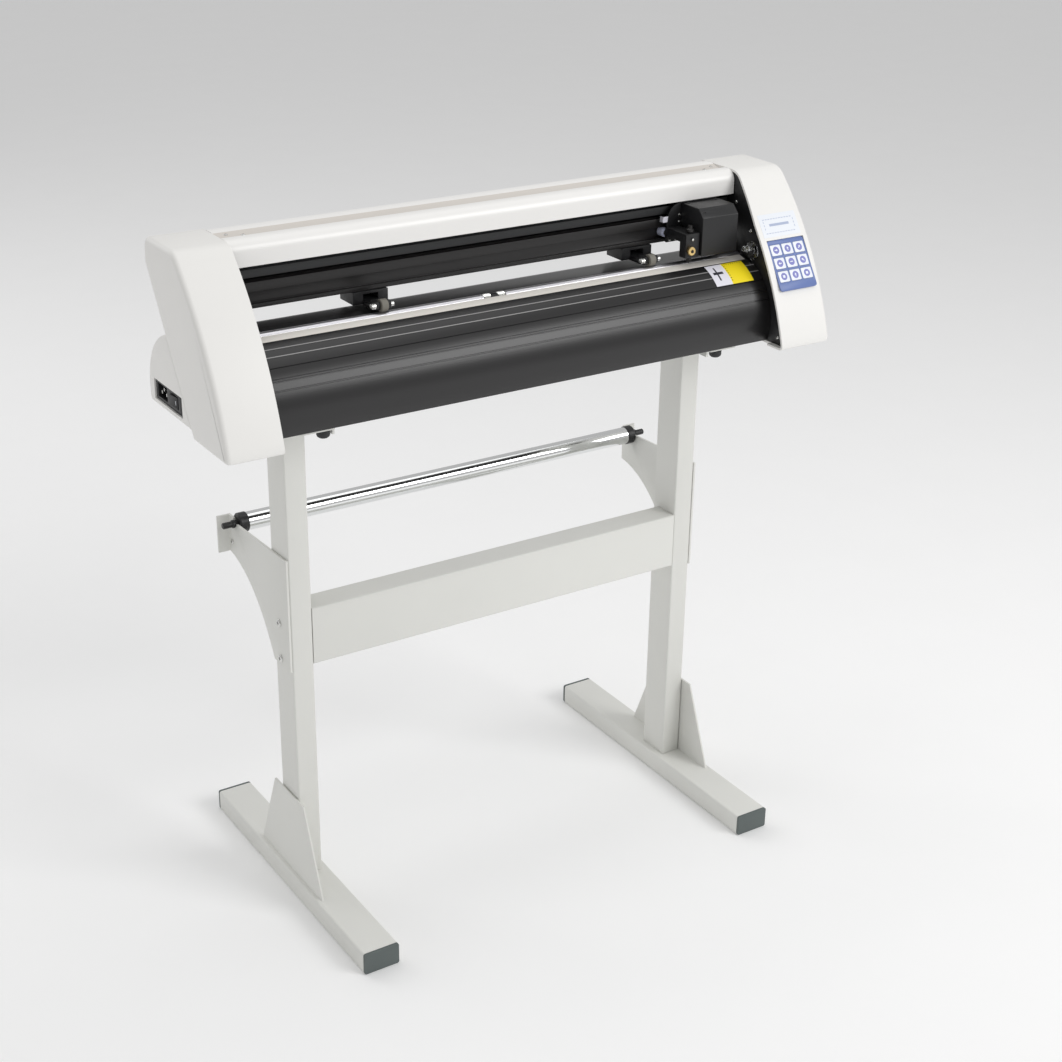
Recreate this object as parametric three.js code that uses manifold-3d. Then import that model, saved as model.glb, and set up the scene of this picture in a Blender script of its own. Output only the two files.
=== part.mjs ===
// A vinyl cutter on its steel stand, as an assembly of separate sub-parts.
// Millimetres, +Z up. The origin is on the floor under the middle of the feet:
// X runs along the beam (positive to the right of a person facing the machine),
// Y runs from the front to the back.

import * as THREE from 'three';
import { mergeVertices } from 'three/addons/utils/BufferGeometryUtils.js';
import Module from 'manifold-3d';

const wasm = await Module();
wasm.setup();

// ---------------------------------------------------------------- driving dimensions

const GAP = 0.3;                 // clearance between pieces that touch or fit
const SEG = 24;                  // sides of an ordinary small cylinder

// stand
const FOOT = { x: 302, wide: 50, high: 30, length: 454, wall: 2, plug: 4 };
const COLUMN = { wide: 30, deep: 50, y: -4, top: 691.5, wall: 2 };
const COLUMN_FRONT = COLUMN.y - COLUMN.deep / 2;
const COLUMN_OUTER = FOOT.x + COLUMN.wide / 2;
const TOP_PLATE = { halfWide: 24, front: -98, back: 60, thick: 3, corner: 6, lip: 8 };
const CROSSBAR = { bottom: 346, top: 426, deep: 40, wall: 2 };
const SHEET = 3;                 // thickness of gussets and brackets
const GUSSET = { topFront: -47, topBack: 38, top: 150, baseFront: -96, baseBack: 88 };
const TUBE = { y: 124, z: 493.5, radius: 12.5, wall: 1.2, half: 310 };
const STUB = { radius: 4.2, end: 338, collar: 13.4, flange: 7.5 };
const BRACKET = { bottom: 342, top: 500, tip: 146, tipTop: 491, flangeOut: 20 };

// end covers
const INNER = 366;               // inner edge of the right end cover at the top
const LEFT_INNER = 370;          // inner edge of the left end cover
const WIDE_INNER = 359;          // inner edge of the right end cover's sloping front
const OUTER = 442;               // outer face of an end cover
const WALL = 3;
const COVER_TOP = 912;
const COVER_BOTTOM = 694.5;
const REAR_TOP = new THREE.Vector2(59, 880);
const REAR_BOTTOM = new THREE.Vector2(-56, COVER_BOTTOM);
const HOUSING = { inner: 1, outer: 440, bottom: 704.5, arcY: -4, arcZ: 725, radius: 80, wall: 2.5 };

// beam, top cover and platen
const SPAN = 365.7;              // right end of what runs between the side plates
const LEFT_SPAN = 369.7;         // left end of the same pieces
const BEAM = { front: 0, rail: -8, lip: -6, back: 36, bottom: 824, top: 905 };
const RAIL_LOW = { bottom: 845, top: 856.5 };
const RAIL_HIGH = { bottom: 880, top: 889 };
const BELT_SLOT = { bottom: 857, top: 877, back: 18 };
const SKIRT = { front: -21.5, back: 44, bottom: 880, thick: 2 };
const PLATEN = { y: -39.5, z: 727, radius: 76, wall: 3, bottom: 695.5, back: 10 };
const ROLLER = { y: -40, z: 798.5, radius: 7, shaft: 4 };
const CHANNEL = { half: 7.3, floor: 788 };
const STRIP = { back: -48, front: -60, zBack: 803, zFront: 799.6, thick: 1.2 };
const BED_Z = 803.5;             // height of the rear platen

// carriage drive
const BELT = { y: 5, x: 400, inner: 10.3, outer: 11.8, bottom: 862, top: 872 };
const PULLEY = { radius: 10, flange: 12.6 };
const CARRIAGE_MOTOR = { side: 32, bottom: 826, top: 856 };

// feed drive
const GEAR_MODULE = 1;
const GEAR_TEETH = 40;
const PINION_TEETH = 16;
const MESH_CLEARANCE = 0.4;
const MESH_ANGLE = 210;          // direction from the roller to the motor, degrees in Y-Z
const GEAR_X = { from: 372, to: 380 };
const FEED_MOTOR = { side: 42, from: 384, to: 424 };

// carriage
const PLATE = { left: 259, right: 339, bottom: 826, shoulder: 878, top: 903, front: -17.5, back: -14 };
const BOX = { left: 280.5, right: 339, front: -67, back: -18, bottom: 815.5, top: 877.5, wall: 2 };
const BOX_CHAMFER = 11;
const PASS_OVER = { front: -49.5, top: 832 };   // room that the box leaves for the pinch rollers
const NUT = { x: 264, front: -68.5 };
const WHEEL = { radius: 6.5, bore: 2.3, front: -12.6, back: -0.8 };
const TOOL = { x: 268, y: -56, z: 825, radius: 3.8, halfWide: 11, front: -63, bottom: 815, top: 847 };

// pinch rollers
const PINCH_X = [-182, 217];
const PINCH = { y: ROLLER.y, radius: 7.8, pivotY: 18, pivotZ: 814 };
const PINCH_BRACKET = { halfWide: 24, armHalf: 10, sheet: 2 };
const PINCH_Z = ROLLER.z + ROLLER.radius + GAP + PINCH.radius;

// hand wheel, keypad, power panel
const HAND_WHEEL = { y: -70, z: 813, radius: 12.5, pegY: -66, pegZ: 816, pegTip: 3.6, pegRoot: 5.2 };
const KEYPAD = { x: 400, y: -111.3, z: 800.1, tilt: 57, wide: 62.5, high: 70.5, corner: 4 };
const KEY = { wide: 17, high: 15, pitchX: 19.8, pitchY: 18.5, firstRow: 21.4, thick: 2 };
const POWER = { front: -24, back: 60, bottom: 711, top: 737 };

// ---------------------------------------------------------------- materials

const paint = new THREE.MeshStandardMaterial({ color: 0xdfe0da, roughness: 0.5, metalness: 0.1 });
const abs = new THREE.MeshStandardMaterial({ color: 0xf0efeb, roughness: 0.45, metalness: 0 });
const plugPlastic = new THREE.MeshStandardMaterial({ color: 0x5d6866, roughness: 0.6, metalness: 0 });
const blackPlastic = new THREE.MeshStandardMaterial({ color: 0x17171a, roughness: 0.5, metalness: 0 });
const blackAnodised = new THREE.MeshStandardMaterial({ color: 0x26262a, roughness: 0.38, metalness: 0.6 });
const blackSteel = new THREE.MeshStandardMaterial({ color: 0x1c1c1e, roughness: 0.5, metalness: 0.4 });
const chrome = new THREE.MeshStandardMaterial({ color: 0xd8dadb, roughness: 0.08, metalness: 1 });
const steel = new THREE.MeshStandardMaterial({ color: 0xb9babd, roughness: 0.3, metalness: 1 });
const brass = new THREE.MeshStandardMaterial({ color: 0xc9a15a, roughness: 0.3, metalness: 1 });
const rubber = new THREE.MeshStandardMaterial({ color: 0x55534f, roughness: 0.8, metalness: 0 });
const nylon = new THREE.MeshStandardMaterial({ color: 0xcdd0e2, roughness: 0.35, metalness: 0.2 });
const cream = new THREE.MeshStandardMaterial({ color: 0xe9e4dc, roughness: 0.5, metalness: 0 });
const clear = new THREE.MeshStandardMaterial({ color: 0xd9dfe0, roughness: 0.1, metalness: 0 });
const blue = new THREE.MeshStandardMaterial({ color: 0x6d80b8, roughness: 0.4, metalness: 0 });
const white = new THREE.MeshStandardMaterial({ color: 0xf3f5fa, roughness: 0.4, metalness: 0 });

// ---------------------------------------------------------------- geometry helpers

const alongX = new THREE.Matrix4().makeBasis(
  new THREE.Vector3(0, 1, 0), new THREE.Vector3(0, 0, 1), new THREE.Vector3(1, 0, 0));
const alongY = new THREE.Matrix4().makeBasis(
  new THREE.Vector3(1, 0, 0), new THREE.Vector3(0, 0, 1), new THREE.Vector3(0, -1, 0));

function outline(points) {
  return new THREE.Shape(points.map(([a, b]) => new THREE.Vector2(a, b)));
}

function prism(shape, from, to, curveSegments = 8) {
  const geometry = new THREE.ExtrudeGeometry(shape, { depth: to - from, bevelEnabled: false, curveSegments });
  return geometry.translate(0, 0, from);
}

// shape drawn in (Y, Z), swept from one X to another
function prismX(shape, from, to, curveSegments) {
  return prism(shape, from, to, curveSegments).applyMatrix4(alongX);
}

// shape drawn in (X, Z), swept from one Y to another
function prismY(shape, from, to, curveSegments) {
  return prism(shape, -to, -from, curveSegments).applyMatrix4(alongY);
}

function block(x0, x1, y0, y1, z0, z1) {
  const geometry = new THREE.BoxGeometry(x1 - x0, y1 - y0, z1 - z0);
  return geometry.translate((x0 + x1) / 2, (y0 + y1) / 2, (z0 + z1) / 2);
}

function rodX(radius, from, to, y, z, sides = SEG) {
  const geometry = new THREE.CylinderGeometry(radius, radius, to - from, sides);
  return geometry.rotateZ(-Math.PI / 2).translate((from + to) / 2, y, z);
}

function rodY(radius, from, to, x, z, sides = SEG) {
  const geometry = new THREE.CylinderGeometry(radius, radius, to - from, sides);
  return geometry.translate(x, (from + to) / 2, z);
}

function rodZ(radius, from, to, x, y, sides = SEG) {
  const geometry = new THREE.CylinderGeometry(radius, radius, to - from, sides);
  return geometry.rotateX(Math.PI / 2).translate(x, y, (from + to) / 2);
}

function roundedRect(halfWide, halfHigh, radius, centreX = 0, centreY = 0) {
  const shape = new THREE.Shape();
  const [x0, x1] = [centreX - halfWide, centreX + halfWide];
  const [y0, y1] = [centreY - halfHigh, centreY + halfHigh];
  shape.moveTo(x0 + radius, y0);
  shape.lineTo(x1 - radius, y0);
  shape.absarc(x1 - radius, y0 + radius, radius, -Math.PI / 2, 0);
  shape.lineTo(x1, y1 - radius);
  shape.absarc(x1 - radius, y1 - radius, radius, 0, Math.PI / 2);
  shape.lineTo(x0 + radius, y1);
  shape.absarc(x0 + radius, y1 - radius, radius, Math.PI / 2, Math.PI);
  shape.lineTo(x0, y0 + radius);
  shape.absarc(x0 + radius, y0 + radius, radius, Math.PI, Math.PI * 1.5);
  return shape;
}

function circle(x, y, radius) {
  return new THREE.Path().absarc(x, y, radius, 0, Math.PI * 2);
}

// moves every side of a closed outline inwards by a distance
function inset(points, distance) {
  const turn = THREE.ShapeUtils.isClockWise(points) ? -1 : 1;
  const count = points.length;
  return points.map((point, i) => {
    const before = point.clone().sub(points[(i + count - 1) % count]).normalize();
    const after = points[(i + 1) % count].clone().sub(point).normalize();
    const normalBefore = new THREE.Vector2(-before.y, before.x).multiplyScalar(turn);
    const normalAfter = new THREE.Vector2(-after.y, after.x).multiplyScalar(turn);
    const middle = normalBefore.clone().add(normalAfter).normalize();
    const reach = distance / Math.max(0.3, middle.dot(normalAfter));
    return point.clone().addScaledVector(middle, reach);
  });
}

// the points of an outline, without the repeated last one
function distinct(points) {
  return points.filter((point, i) => {
    const next = points[(i + 1) % points.length];
    return point.distanceTo(next) > 0.01;
  });
}

function toSolid(geometry) {
  const plain = geometry.clone();
  plain.deleteAttribute('normal');
  plain.deleteAttribute('uv');
  const merged = mergeVertices(plain, 1e-4);
  const index = merged.index.array;
  const triangles = [];
  for (let i = 0; i < index.length; i += 3) {
    const [a, b, c] = [index[i], index[i + 1], index[i + 2]];
    if (a !== b && b !== c && c !== a) {
      triangles.push(a, b, c);
    }
  }
  return new wasm.Manifold(new wasm.Mesh({
    numProp: 3,
    vertProperties: new Float32Array(merged.attributes.position.array),
    triVerts: new Uint32Array(triangles),
  }));
}

function toGeometry(solid) {
  const mesh = solid.getMesh();
  const geometry = new THREE.BufferGeometry();
  geometry.setAttribute('position', new THREE.BufferAttribute(new Float32Array(mesh.vertProperties), 3));
  geometry.setIndex(new THREE.BufferAttribute(new Uint32Array(mesh.triVerts), 1));
  geometry.computeVertexNormals();
  return geometry;
}

function join(first, ...others) {
  return toGeometry(others.reduce((solid, other) => solid.add(toSolid(other)), toSolid(first)));
}

function cut(first, ...others) {
  return toGeometry(others.reduce((solid, other) => solid.subtract(toSolid(other)), toSolid(first)));
}

function add(parent, name, geometry, material, position = [0, 0, 0]) {
  const mesh = new THREE.Mesh(geometry, material);
  mesh.name = name;
  mesh.position.set(...position);
  parent.add(mesh);
  return mesh;
}

const SIDES = [['left', -1], ['right', 1]];

// an X range on one side of the machine, in rising order
function sided(side, inner, outer) {
  return side < 0 ? [-outer, -inner] : [inner, outer];
}

// ---------------------------------------------------------------- stand

function footTube(side) {
  const x = side * FOOT.x;
  const half = FOOT.length / 2 - FOOT.plug;
  const section = roundedRect(FOOT.wide / 2, FOOT.high / 2, 3, x, FOOT.high / 2);
  const bore = roundedRect(FOOT.wide / 2 - FOOT.wall, FOOT.high / 2 - FOOT.wall, 1.5, x, FOOT.high / 2);
  section.holes.push(bore);
  const tube = prismY(section, -half, half, 3);
  const plate = outline([
    [GUSSET.baseFront, FOOT.high - FOOT.wall / 2],
    [GUSSET.baseBack, FOOT.high - FOOT.wall / 2],
    [GUSSET.topBack, GUSSET.top],
    [GUSSET.topFront, GUSSET.top],
  ]);
  const [from, to] = sided(side, COLUMN_OUTER + 0.4, COLUMN_OUTER + 0.4 + SHEET);
  return join(tube, prismX(plate, from, to));
}

function footPlug(side, end) {
  const x = side * FOOT.x;
  const face = FOOT.length / 2;
  const [near, far] = end < 0 ? [-face, -face + FOOT.plug - GAP] : [face - FOOT.plug + GAP, face];
  const cap = prismY(roundedRect(FOOT.wide / 2, FOOT.high / 2, 3, x, FOOT.high / 2), near, far, 3);
  const inside = FOOT.wall + 0.4;
  const depth = 14;
  const [y0, y1] = end < 0 ? [far - 1, far + depth] : [near - depth, near + 1];
  const section = roundedRect(FOOT.wide / 2 - inside, FOOT.high / 2 - inside, 2, x, FOOT.high / 2);
  return join(cap, prismY(section, y0, y1, 3));
}

function upright(side) {
  const x = side * FOOT.x;
  const section = roundedRect(COLUMN.wide / 2, COLUMN.deep / 2, 2.5, x, COLUMN.y);
  const bore = roundedRect(COLUMN.wide / 2 - COLUMN.wall, COLUMN.deep / 2 - COLUMN.wall, 1, x, COLUMN.y);
  section.holes.push(bore);
  const tube = prism(section, FOOT.high + GAP, COLUMN.top + 0.5, 3);
  const plateShape = roundedRect(
    TOP_PLATE.halfWide, (TOP_PLATE.back - TOP_PLATE.front) / 2, TOP_PLATE.corner,
    x, (TOP_PLATE.back + TOP_PLATE.front) / 2);
  const plate = prism(plateShape, COLUMN.top, COLUMN.top + TOP_PLATE.thick, 3);
  const lipInner = x - side * TOP_PLATE.halfWide;
  const lipOuter = lipInner + side * SHEET;
  const lip = block(
    Math.min(lipInner, lipOuter), Math.max(lipInner, lipOuter),
    TOP_PLATE.front + TOP_PLATE.corner, TOP_PLATE.back - TOP_PLATE.corner,
    COLUMN.top - TOP_PLATE.lip, COLUMN.top + 1);
  return join(tube, plate, lip);
}

function crossbar() {
  const half = FOOT.x - COLUMN.wide / 2 - GAP;
  const middleY = COLUMN_FRONT + CROSSBAR.deep / 2;
  const middleZ = (CROSSBAR.bottom + CROSSBAR.top) / 2;
  const halfHigh = (CROSSBAR.top - CROSSBAR.bottom) / 2;
  const section = roundedRect(CROSSBAR.deep / 2, halfHigh, 2.5, middleY, middleZ);
  section.holes.push(roundedRect(
    CROSSBAR.deep / 2 - CROSSBAR.wall, halfHigh - CROSSBAR.wall, 1, middleY, middleZ));
  return prismX(section, -half, half, 3);
}

function rollBracket(side) {
  const shape = new THREE.Shape();
  const notch = STUB.radius + GAP;
  shape.moveTo(COLUMN_FRONT, BRACKET.bottom);
  shape.lineTo(COLUMN_FRONT + COLUMN.deep - 3, BRACKET.bottom);
  shape.quadraticCurveTo(68, 438, BRACKET.tip, 447.5);
  shape.lineTo(BRACKET.tip, BRACKET.tipTop + 9);
  shape.lineTo(TUBE.y + notch, BRACKET.tipTop + 9);
  shape.lineTo(TUBE.y + notch, TUBE.z);
  shape.absarc(TUBE.y, TUBE.z, notch, 0, -Math.PI, true);
  shape.lineTo(TUBE.y - notch, TUBE.z + 0.5);
  shape.lineTo(COLUMN_FRONT, BRACKET.top);
  const [from, to] = sided(side, COLUMN_OUTER + 0.4, COLUMN_OUTER + 0.4 + SHEET);
  const [flangeFrom, flangeTo] = sided(side, COLUMN_OUTER + 1, COLUMN_OUTER + BRACKET.flangeOut);
  const flange = block(flangeFrom, flangeTo, BRACKET.tip - SHEET, BRACKET.tip, 447.5, BRACKET.tipTop + 9);
  return join(prismX(shape, from, to, 10), flange);
}

function mediaTube() {
  const section = new THREE.Shape().absarc(TUBE.y, TUBE.z, TUBE.radius, 0, Math.PI * 2);
  section.holes.push(circle(TUBE.y, TUBE.z, TUBE.radius - TUBE.wall));
  return prismX(section, -TUBE.half, TUBE.half, 32);
}

function tubeEnd(side) {
  const face = COLUMN_OUTER - 0.4;
  const inside = TUBE.radius - TUBE.wall - GAP;
  const reach = 22;
  const [plugFrom, plugTo] = sided(side, TUBE.half - reach, TUBE.half + 2);
  const [collarFrom, collarTo] = sided(side, TUBE.half + GAP, face);
  const [stubFrom, stubTo] = sided(side, face - 1, STUB.end);
  const [buttonFrom, buttonTo] = sided(side, COLUMN_OUTER + SHEET + 1.2, COLUMN_OUTER + SHEET + 4.2);
  return join(
    rodX(inside, plugFrom, plugTo, TUBE.y, TUBE.z),
    rodX(STUB.collar, collarFrom, collarTo, TUBE.y, TUBE.z, 32),
    rodX(STUB.radius, stubFrom, stubTo, TUBE.y, TUBE.z),
    rodX(STUB.flange, buttonFrom, buttonTo, TUBE.y, TUBE.z));
}

function makeStand() {
  const stand = new THREE.Group();
  for (const [name, side] of SIDES) {
    add(stand, `${name}_foot`, footTube(side), paint);
    add(stand, `${name}_front_foot_plug`, footPlug(side, -1), plugPlastic);
    add(stand, `${name}_rear_foot_plug`, footPlug(side, 1), plugPlastic);
    add(stand, `${name}_upright`, upright(side), paint);
    add(stand, `${name}_roll_bracket`, rollBracket(side), paint);
    add(stand, `${name}_tube_end`, tubeEnd(side), blackPlastic);
  }
  add(stand, 'crossbar', crossbar(), paint);
  add(stand, 'media_tube', mediaTube(), chrome);
  return stand;
}

// ---------------------------------------------------------------- end covers and housings

// side view of an end cover: flat top, convex sloping front, straight rear edge
function coverOutline() {
  const shape = new THREE.Shape();
  shape.moveTo(REAR_BOTTOM.x, REAR_BOTTOM.y);
  shape.lineTo(REAR_TOP.x, REAR_TOP.y);
  shape.quadraticCurveTo(REAR_TOP.x + 1, COVER_TOP - 1, 48, COVER_TOP);
  shape.lineTo(-15, COVER_TOP);
  shape.quadraticCurveTo(-28, COVER_TOP, -39, 899);
  shape.quadraticCurveTo(-119.5, 814.5, -151, 703);
  shape.quadraticCurveTo(-152.5, COVER_BOTTOM, -143, COVER_BOTTOM);
  return distinct(shape.getPoints(7));
}

function keypadPlace(geometry) {
  geometry.rotateX(THREE.MathUtils.degToRad(KEYPAD.tilt));
  return geometry.translate(KEYPAD.x, KEYPAD.y, KEYPAD.z);
}

// what the wide front of the right cover leaves free for the top cover, the beam and the platen
function rightCoverRelief() {
  const taper = new THREE.Shape();
  taper.moveTo(WIDE_INNER - 1, 850);
  taper.lineTo(WIDE_INNER, 850);
  taper.lineTo(INNER, 906);
  taper.lineTo(INNER, COVER_TOP + 1);
  taper.lineTo(WIDE_INNER - 1, COVER_TOP + 1);
  const rear = block(WIDE_INNER - 1, INNER, -30, 70, COVER_BOTTOM - 1, COVER_TOP + 1);
  const bottom = block(WIDE_INNER - 1, INNER, -120, 70, COVER_BOTTOM - 1, 760);
  return [prismY(taper, -100, 70), rear, bottom];
}

// inner edge of an end cover where it meets the top cover
function topInner(side) {
  return side < 0 ? LEFT_INNER : INNER;
}

function endCover(side) {
  const points = coverOutline();
  const inner = side < 0 ? LEFT_INNER : WIDE_INNER;
  const [from, to] = sided(side, inner, OUTER);
  const [hollowFrom, hollowTo] = sided(side, inner - 1, OUTER - WALL);
  const body = prismX(new THREE.Shape(points), from, to);
  const hollow = prismX(new THREE.Shape(inset(points, WALL)), hollowFrom, hollowTo);
  if (side < 0) {
    return cut(body, hollow);
  }
  const recess = new THREE.BoxGeometry(KEYPAD.wide + 2 * GAP, KEYPAD.high + 2 * GAP, 8);
  return cut(body, hollow, keypadPlace(recess.translate(0, 0, 2)), ...rightCoverRelief());
}

// Y of the cover's rear edge at a height
function rearEdge(z) {
  const slope = (REAR_TOP.x - REAR_BOTTOM.x) / (REAR_TOP.y - REAR_BOTTOM.y);
  return REAR_TOP.x - slope * (REAR_TOP.y - z);
}

function housingOutline(shrink) {
  const shape = new THREE.Shape();
  const tip = 801;
  const radius = HOUSING.radius - shrink;
  const startAngle = Math.asin((tip - shrink * 2 - HOUSING.arcZ) / radius);
  const bottom = HOUSING.bottom + shrink;
  const seam = shrink > 0 ? -20 : 1;
  shape.moveTo(rearEdge(bottom) + seam, bottom);
  shape.lineTo(HOUSING.arcY + radius - 8, bottom);
  shape.quadraticCurveTo(HOUSING.arcY + radius, bottom, HOUSING.arcY + radius, bottom + 8);
  shape.lineTo(HOUSING.arcY + radius, HOUSING.arcZ);
  shape.absarc(HOUSING.arcY, HOUSING.arcZ, radius, 0, startAngle);
  const topZ = HOUSING.arcZ + radius * Math.sin(startAngle);
  shape.lineTo(rearEdge(topZ) + seam, topZ);
  return shape;
}

function rearHousing(side) {
  const inner = topInner(side) + HOUSING.inner;
  const [from, to] = sided(side, inner, HOUSING.outer);
  const [hollowFrom, hollowTo] = sided(side, inner + HOUSING.wall, HOUSING.outer - HOUSING.wall);
  const body = prismX(housingOutline(0), from, to);
  const hollow = prismX(housingOutline(HOUSING.wall), hollowFrom, hollowTo);
  if (side > 0) {
    return cut(body, hollow);
  }
  const window = block(-OUTER - 1, -HOUSING.outer + 10, POWER.front, POWER.back, POWER.bottom, POWER.top);
  return cut(body, hollow, window);
}

function sidePlate(side) {
  const points = inset(coverOutline(), WALL + 0.35);
  const [from, to] = sided(side, topInner(side) + 0.5, topInner(side) + 3.5);
  const plate = prismX(new THREE.Shape(points), from, to);
  const belt = block(from - 1, to + 1, BEAM.rail - 1, BELT_SLOT.back + 1, BELT_SLOT.bottom, BELT_SLOT.top);
  const shaft = rodX(ROLLER.shaft + 0.5, from - 1, to + 1, ROLLER.y, ROLLER.z);
  return cut(plate, belt, shaft);
}

function powerInlet() {
  const [y0, y1] = [POWER.front + GAP, POWER.back - GAP];
  const [z0, z1] = [POWER.bottom + GAP, POWER.top - GAP];
  const face = -HOUSING.outer + 2;
  const body = block(face, face + 24, y0, y1, z0, z1);
  const socket = block(face - 1, face + 15, y1 - 34, y1 - 6, z0 + 4, z1 - 4);
  const well = block(face - 1, face + 12, y0 + 16, y0 + 38, z0 + 5, z1 - 5);
  return cut(body, socket, well);
}

function powerRocker() {
  const tilt = 8;
  const half = { y: 10, z: 7 };
  const rocker = block(-4, 4, -half.y, half.y, -half.z, half.z);
  rocker.rotateZ(THREE.MathUtils.degToRad(tilt));
  const y = POWER.front + GAP + 27;
  const z = (POWER.bottom + POWER.top) / 2;
  return rocker.translate(-HOUSING.outer + 4, y, z);
}

// ---------------------------------------------------------------- beam, cover, platen

function topCover() {
  const t = SKIRT.thick;
  const shape = new THREE.Shape();
  shape.moveTo(SKIRT.front, SKIRT.bottom);
  shape.lineTo(SKIRT.front + t, SKIRT.bottom);
  shape.lineTo(SKIRT.front + t, 897);
  shape.quadraticCurveTo(SKIRT.front + t, COVER_TOP - 3, -5, COVER_TOP - 3);
  shape.lineTo(2, COVER_TOP - 5);
  shape.lineTo(16, COVER_TOP - 5);
  shape.lineTo(26, COVER_TOP - 3);
  shape.lineTo(SKIRT.back - t, COVER_TOP - 3);
  shape.lineTo(SKIRT.back - t, SKIRT.bottom);
  shape.lineTo(SKIRT.back, SKIRT.bottom);
  shape.lineTo(SKIRT.back, COVER_TOP - 2);
  shape.lineTo(SKIRT.back - 2, COVER_TOP);
  shape.lineTo(26, COVER_TOP);
  shape.lineTo(16, COVER_TOP - 2.5);
  shape.lineTo(2, COVER_TOP - 2.5);
  shape.lineTo(-6, COVER_TOP);
  shape.quadraticCurveTo(SKIRT.front, COVER_TOP, SKIRT.front, 898);
  return prismX(shape, -LEFT_SPAN, SPAN, 6);
}

function beam() {
  const shape = outline([
    [BEAM.lip, BEAM.bottom], [BEAM.back, BEAM.bottom], [BEAM.back, BEAM.top], [BEAM.front, BEAM.top],
    [BEAM.front, RAIL_HIGH.top], [BEAM.rail, RAIL_HIGH.top],
    [BEAM.rail, RAIL_HIGH.bottom], [BEAM.front, RAIL_HIGH.bottom],
    [BEAM.front, BELT_SLOT.top], [BELT_SLOT.back, BELT_SLOT.top],
    [BELT_SLOT.back, BELT_SLOT.bottom], [BEAM.front, BELT_SLOT.bottom],
    [BEAM.front, RAIL_LOW.top], [BEAM.rail, RAIL_LOW.top],
    [BEAM.rail, RAIL_LOW.bottom], [BEAM.front, RAIL_LOW.bottom],
    [BEAM.front, BEAM.bottom + 5], [BEAM.lip, BEAM.bottom + 5],
  ]);
  return prismX(shape, -LEFT_SPAN, SPAN);
}

// point on the curved front of the platen, angle in degrees from straight up towards the front
function platenPoint(angle, radius = PLATEN.radius) {
  const a = THREE.MathUtils.degToRad(angle);
  return new THREE.Vector2(PLATEN.y - radius * Math.sin(a), PLATEN.z + radius * Math.cos(a));
}

function platenOutline() {
  const points = [
    new THREE.Vector2(ROLLER.y - CHANNEL.half, 802.3),
    new THREE.Vector2(ROLLER.y - CHANNEL.half, CHANNEL.floor),
    new THREE.Vector2(ROLLER.y + CHANNEL.half, CHANNEL.floor),
    new THREE.Vector2(ROLLER.y + CHANNEL.half, BED_Z - 3.4),
    new THREE.Vector2(PLATEN.back, BED_Z - 8),
    new THREE.Vector2(PLATEN.back, PLATEN.bottom),
    new THREE.Vector2(PLATEN.y - 60, PLATEN.bottom),
  ];
  for (let angle = 112; angle >= 20; angle -= 8) {
    points.push(platenPoint(angle));
  }
  points.push(new THREE.Vector2(STRIP.front - 0.6, STRIP.zFront - 0.4));
  points.push(new THREE.Vector2(STRIP.front - 0.6, STRIP.zFront - STRIP.thick - 0.3));
  points.push(new THREE.Vector2(STRIP.back + 0.4, STRIP.zBack - STRIP.thick - 0.3));
  return points;
}

function frontPlaten() {
  const shape = new THREE.Shape(platenOutline());
  const cavity = new THREE.Shape([
    new THREE.Vector2(PLATEN.y - 58, PLATEN.bottom + PLATEN.wall),
    ...[104, 90, 75, 60, 45, 30, 20].map((angle) => platenPoint(angle, PLATEN.radius - PLATEN.wall)),
    new THREE.Vector2(ROLLER.y - CHANNEL.half - PLATEN.wall, 795),
    new THREE.Vector2(ROLLER.y - CHANNEL.half - PLATEN.wall, CHANNEL.floor - PLATEN.wall),
    new THREE.Vector2(PLATEN.back - PLATEN.wall, CHANNEL.floor - PLATEN.wall),
    new THREE.Vector2(PLATEN.back - PLATEN.wall, PLATEN.bottom + PLATEN.wall),
  ]);
  return cut(prismX(shape, -LEFT_SPAN, SPAN), prismX(cavity, -LEFT_SPAN - 1, SPAN + 1));
}

function rearPlaten() {
  const shape = new THREE.Shape();
  const front = ROLLER.y + CHANNEL.half;
  const bend = { y: 1, radius: 30 };
  const lip = 762;
  shape.moveTo(front, BED_Z - 3);
  shape.lineTo(front, BED_Z);
  shape.lineTo(bend.y, BED_Z);
  shape.absarc(bend.y, BED_Z - bend.radius, bend.radius, Math.PI / 2, 0, true);
  shape.lineTo(bend.y + bend.radius, lip);
  shape.lineTo(bend.y + bend.radius - 3, lip);
  shape.lineTo(bend.y + bend.radius - 3, BED_Z - bend.radius);
  shape.absarc(bend.y, BED_Z - bend.radius, bend.radius - 3, 0, Math.PI / 2);
  return prismX(shape, -LEFT_SPAN, SPAN, 8);
}

function cuttingStrip() {
  const shape = outline([
    [STRIP.front, STRIP.zFront - STRIP.thick], [STRIP.back, STRIP.zBack - STRIP.thick],
    [STRIP.back, STRIP.zBack], [STRIP.front, STRIP.zFront],
  ]);
  return prismX(shape, -LEFT_SPAN + 5, SPAN - 5);
}

function feedRoller() {
  const neck = { from: -31, to: -21, band: 11 };
  const reach = SPAN - 2;
  return join(
    rodX(ROLLER.radius, -reach, neck.from, ROLLER.y, ROLLER.z, 28),
    rodX(ROLLER.radius, neck.to, reach, ROLLER.y, ROLLER.z, 28),
    rodX(ROLLER.shaft, -LEFT_INNER - 6, GEAR_X.to + 2, ROLLER.y, ROLLER.z));
}

// ---------------------------------------------------------------- drives

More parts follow.
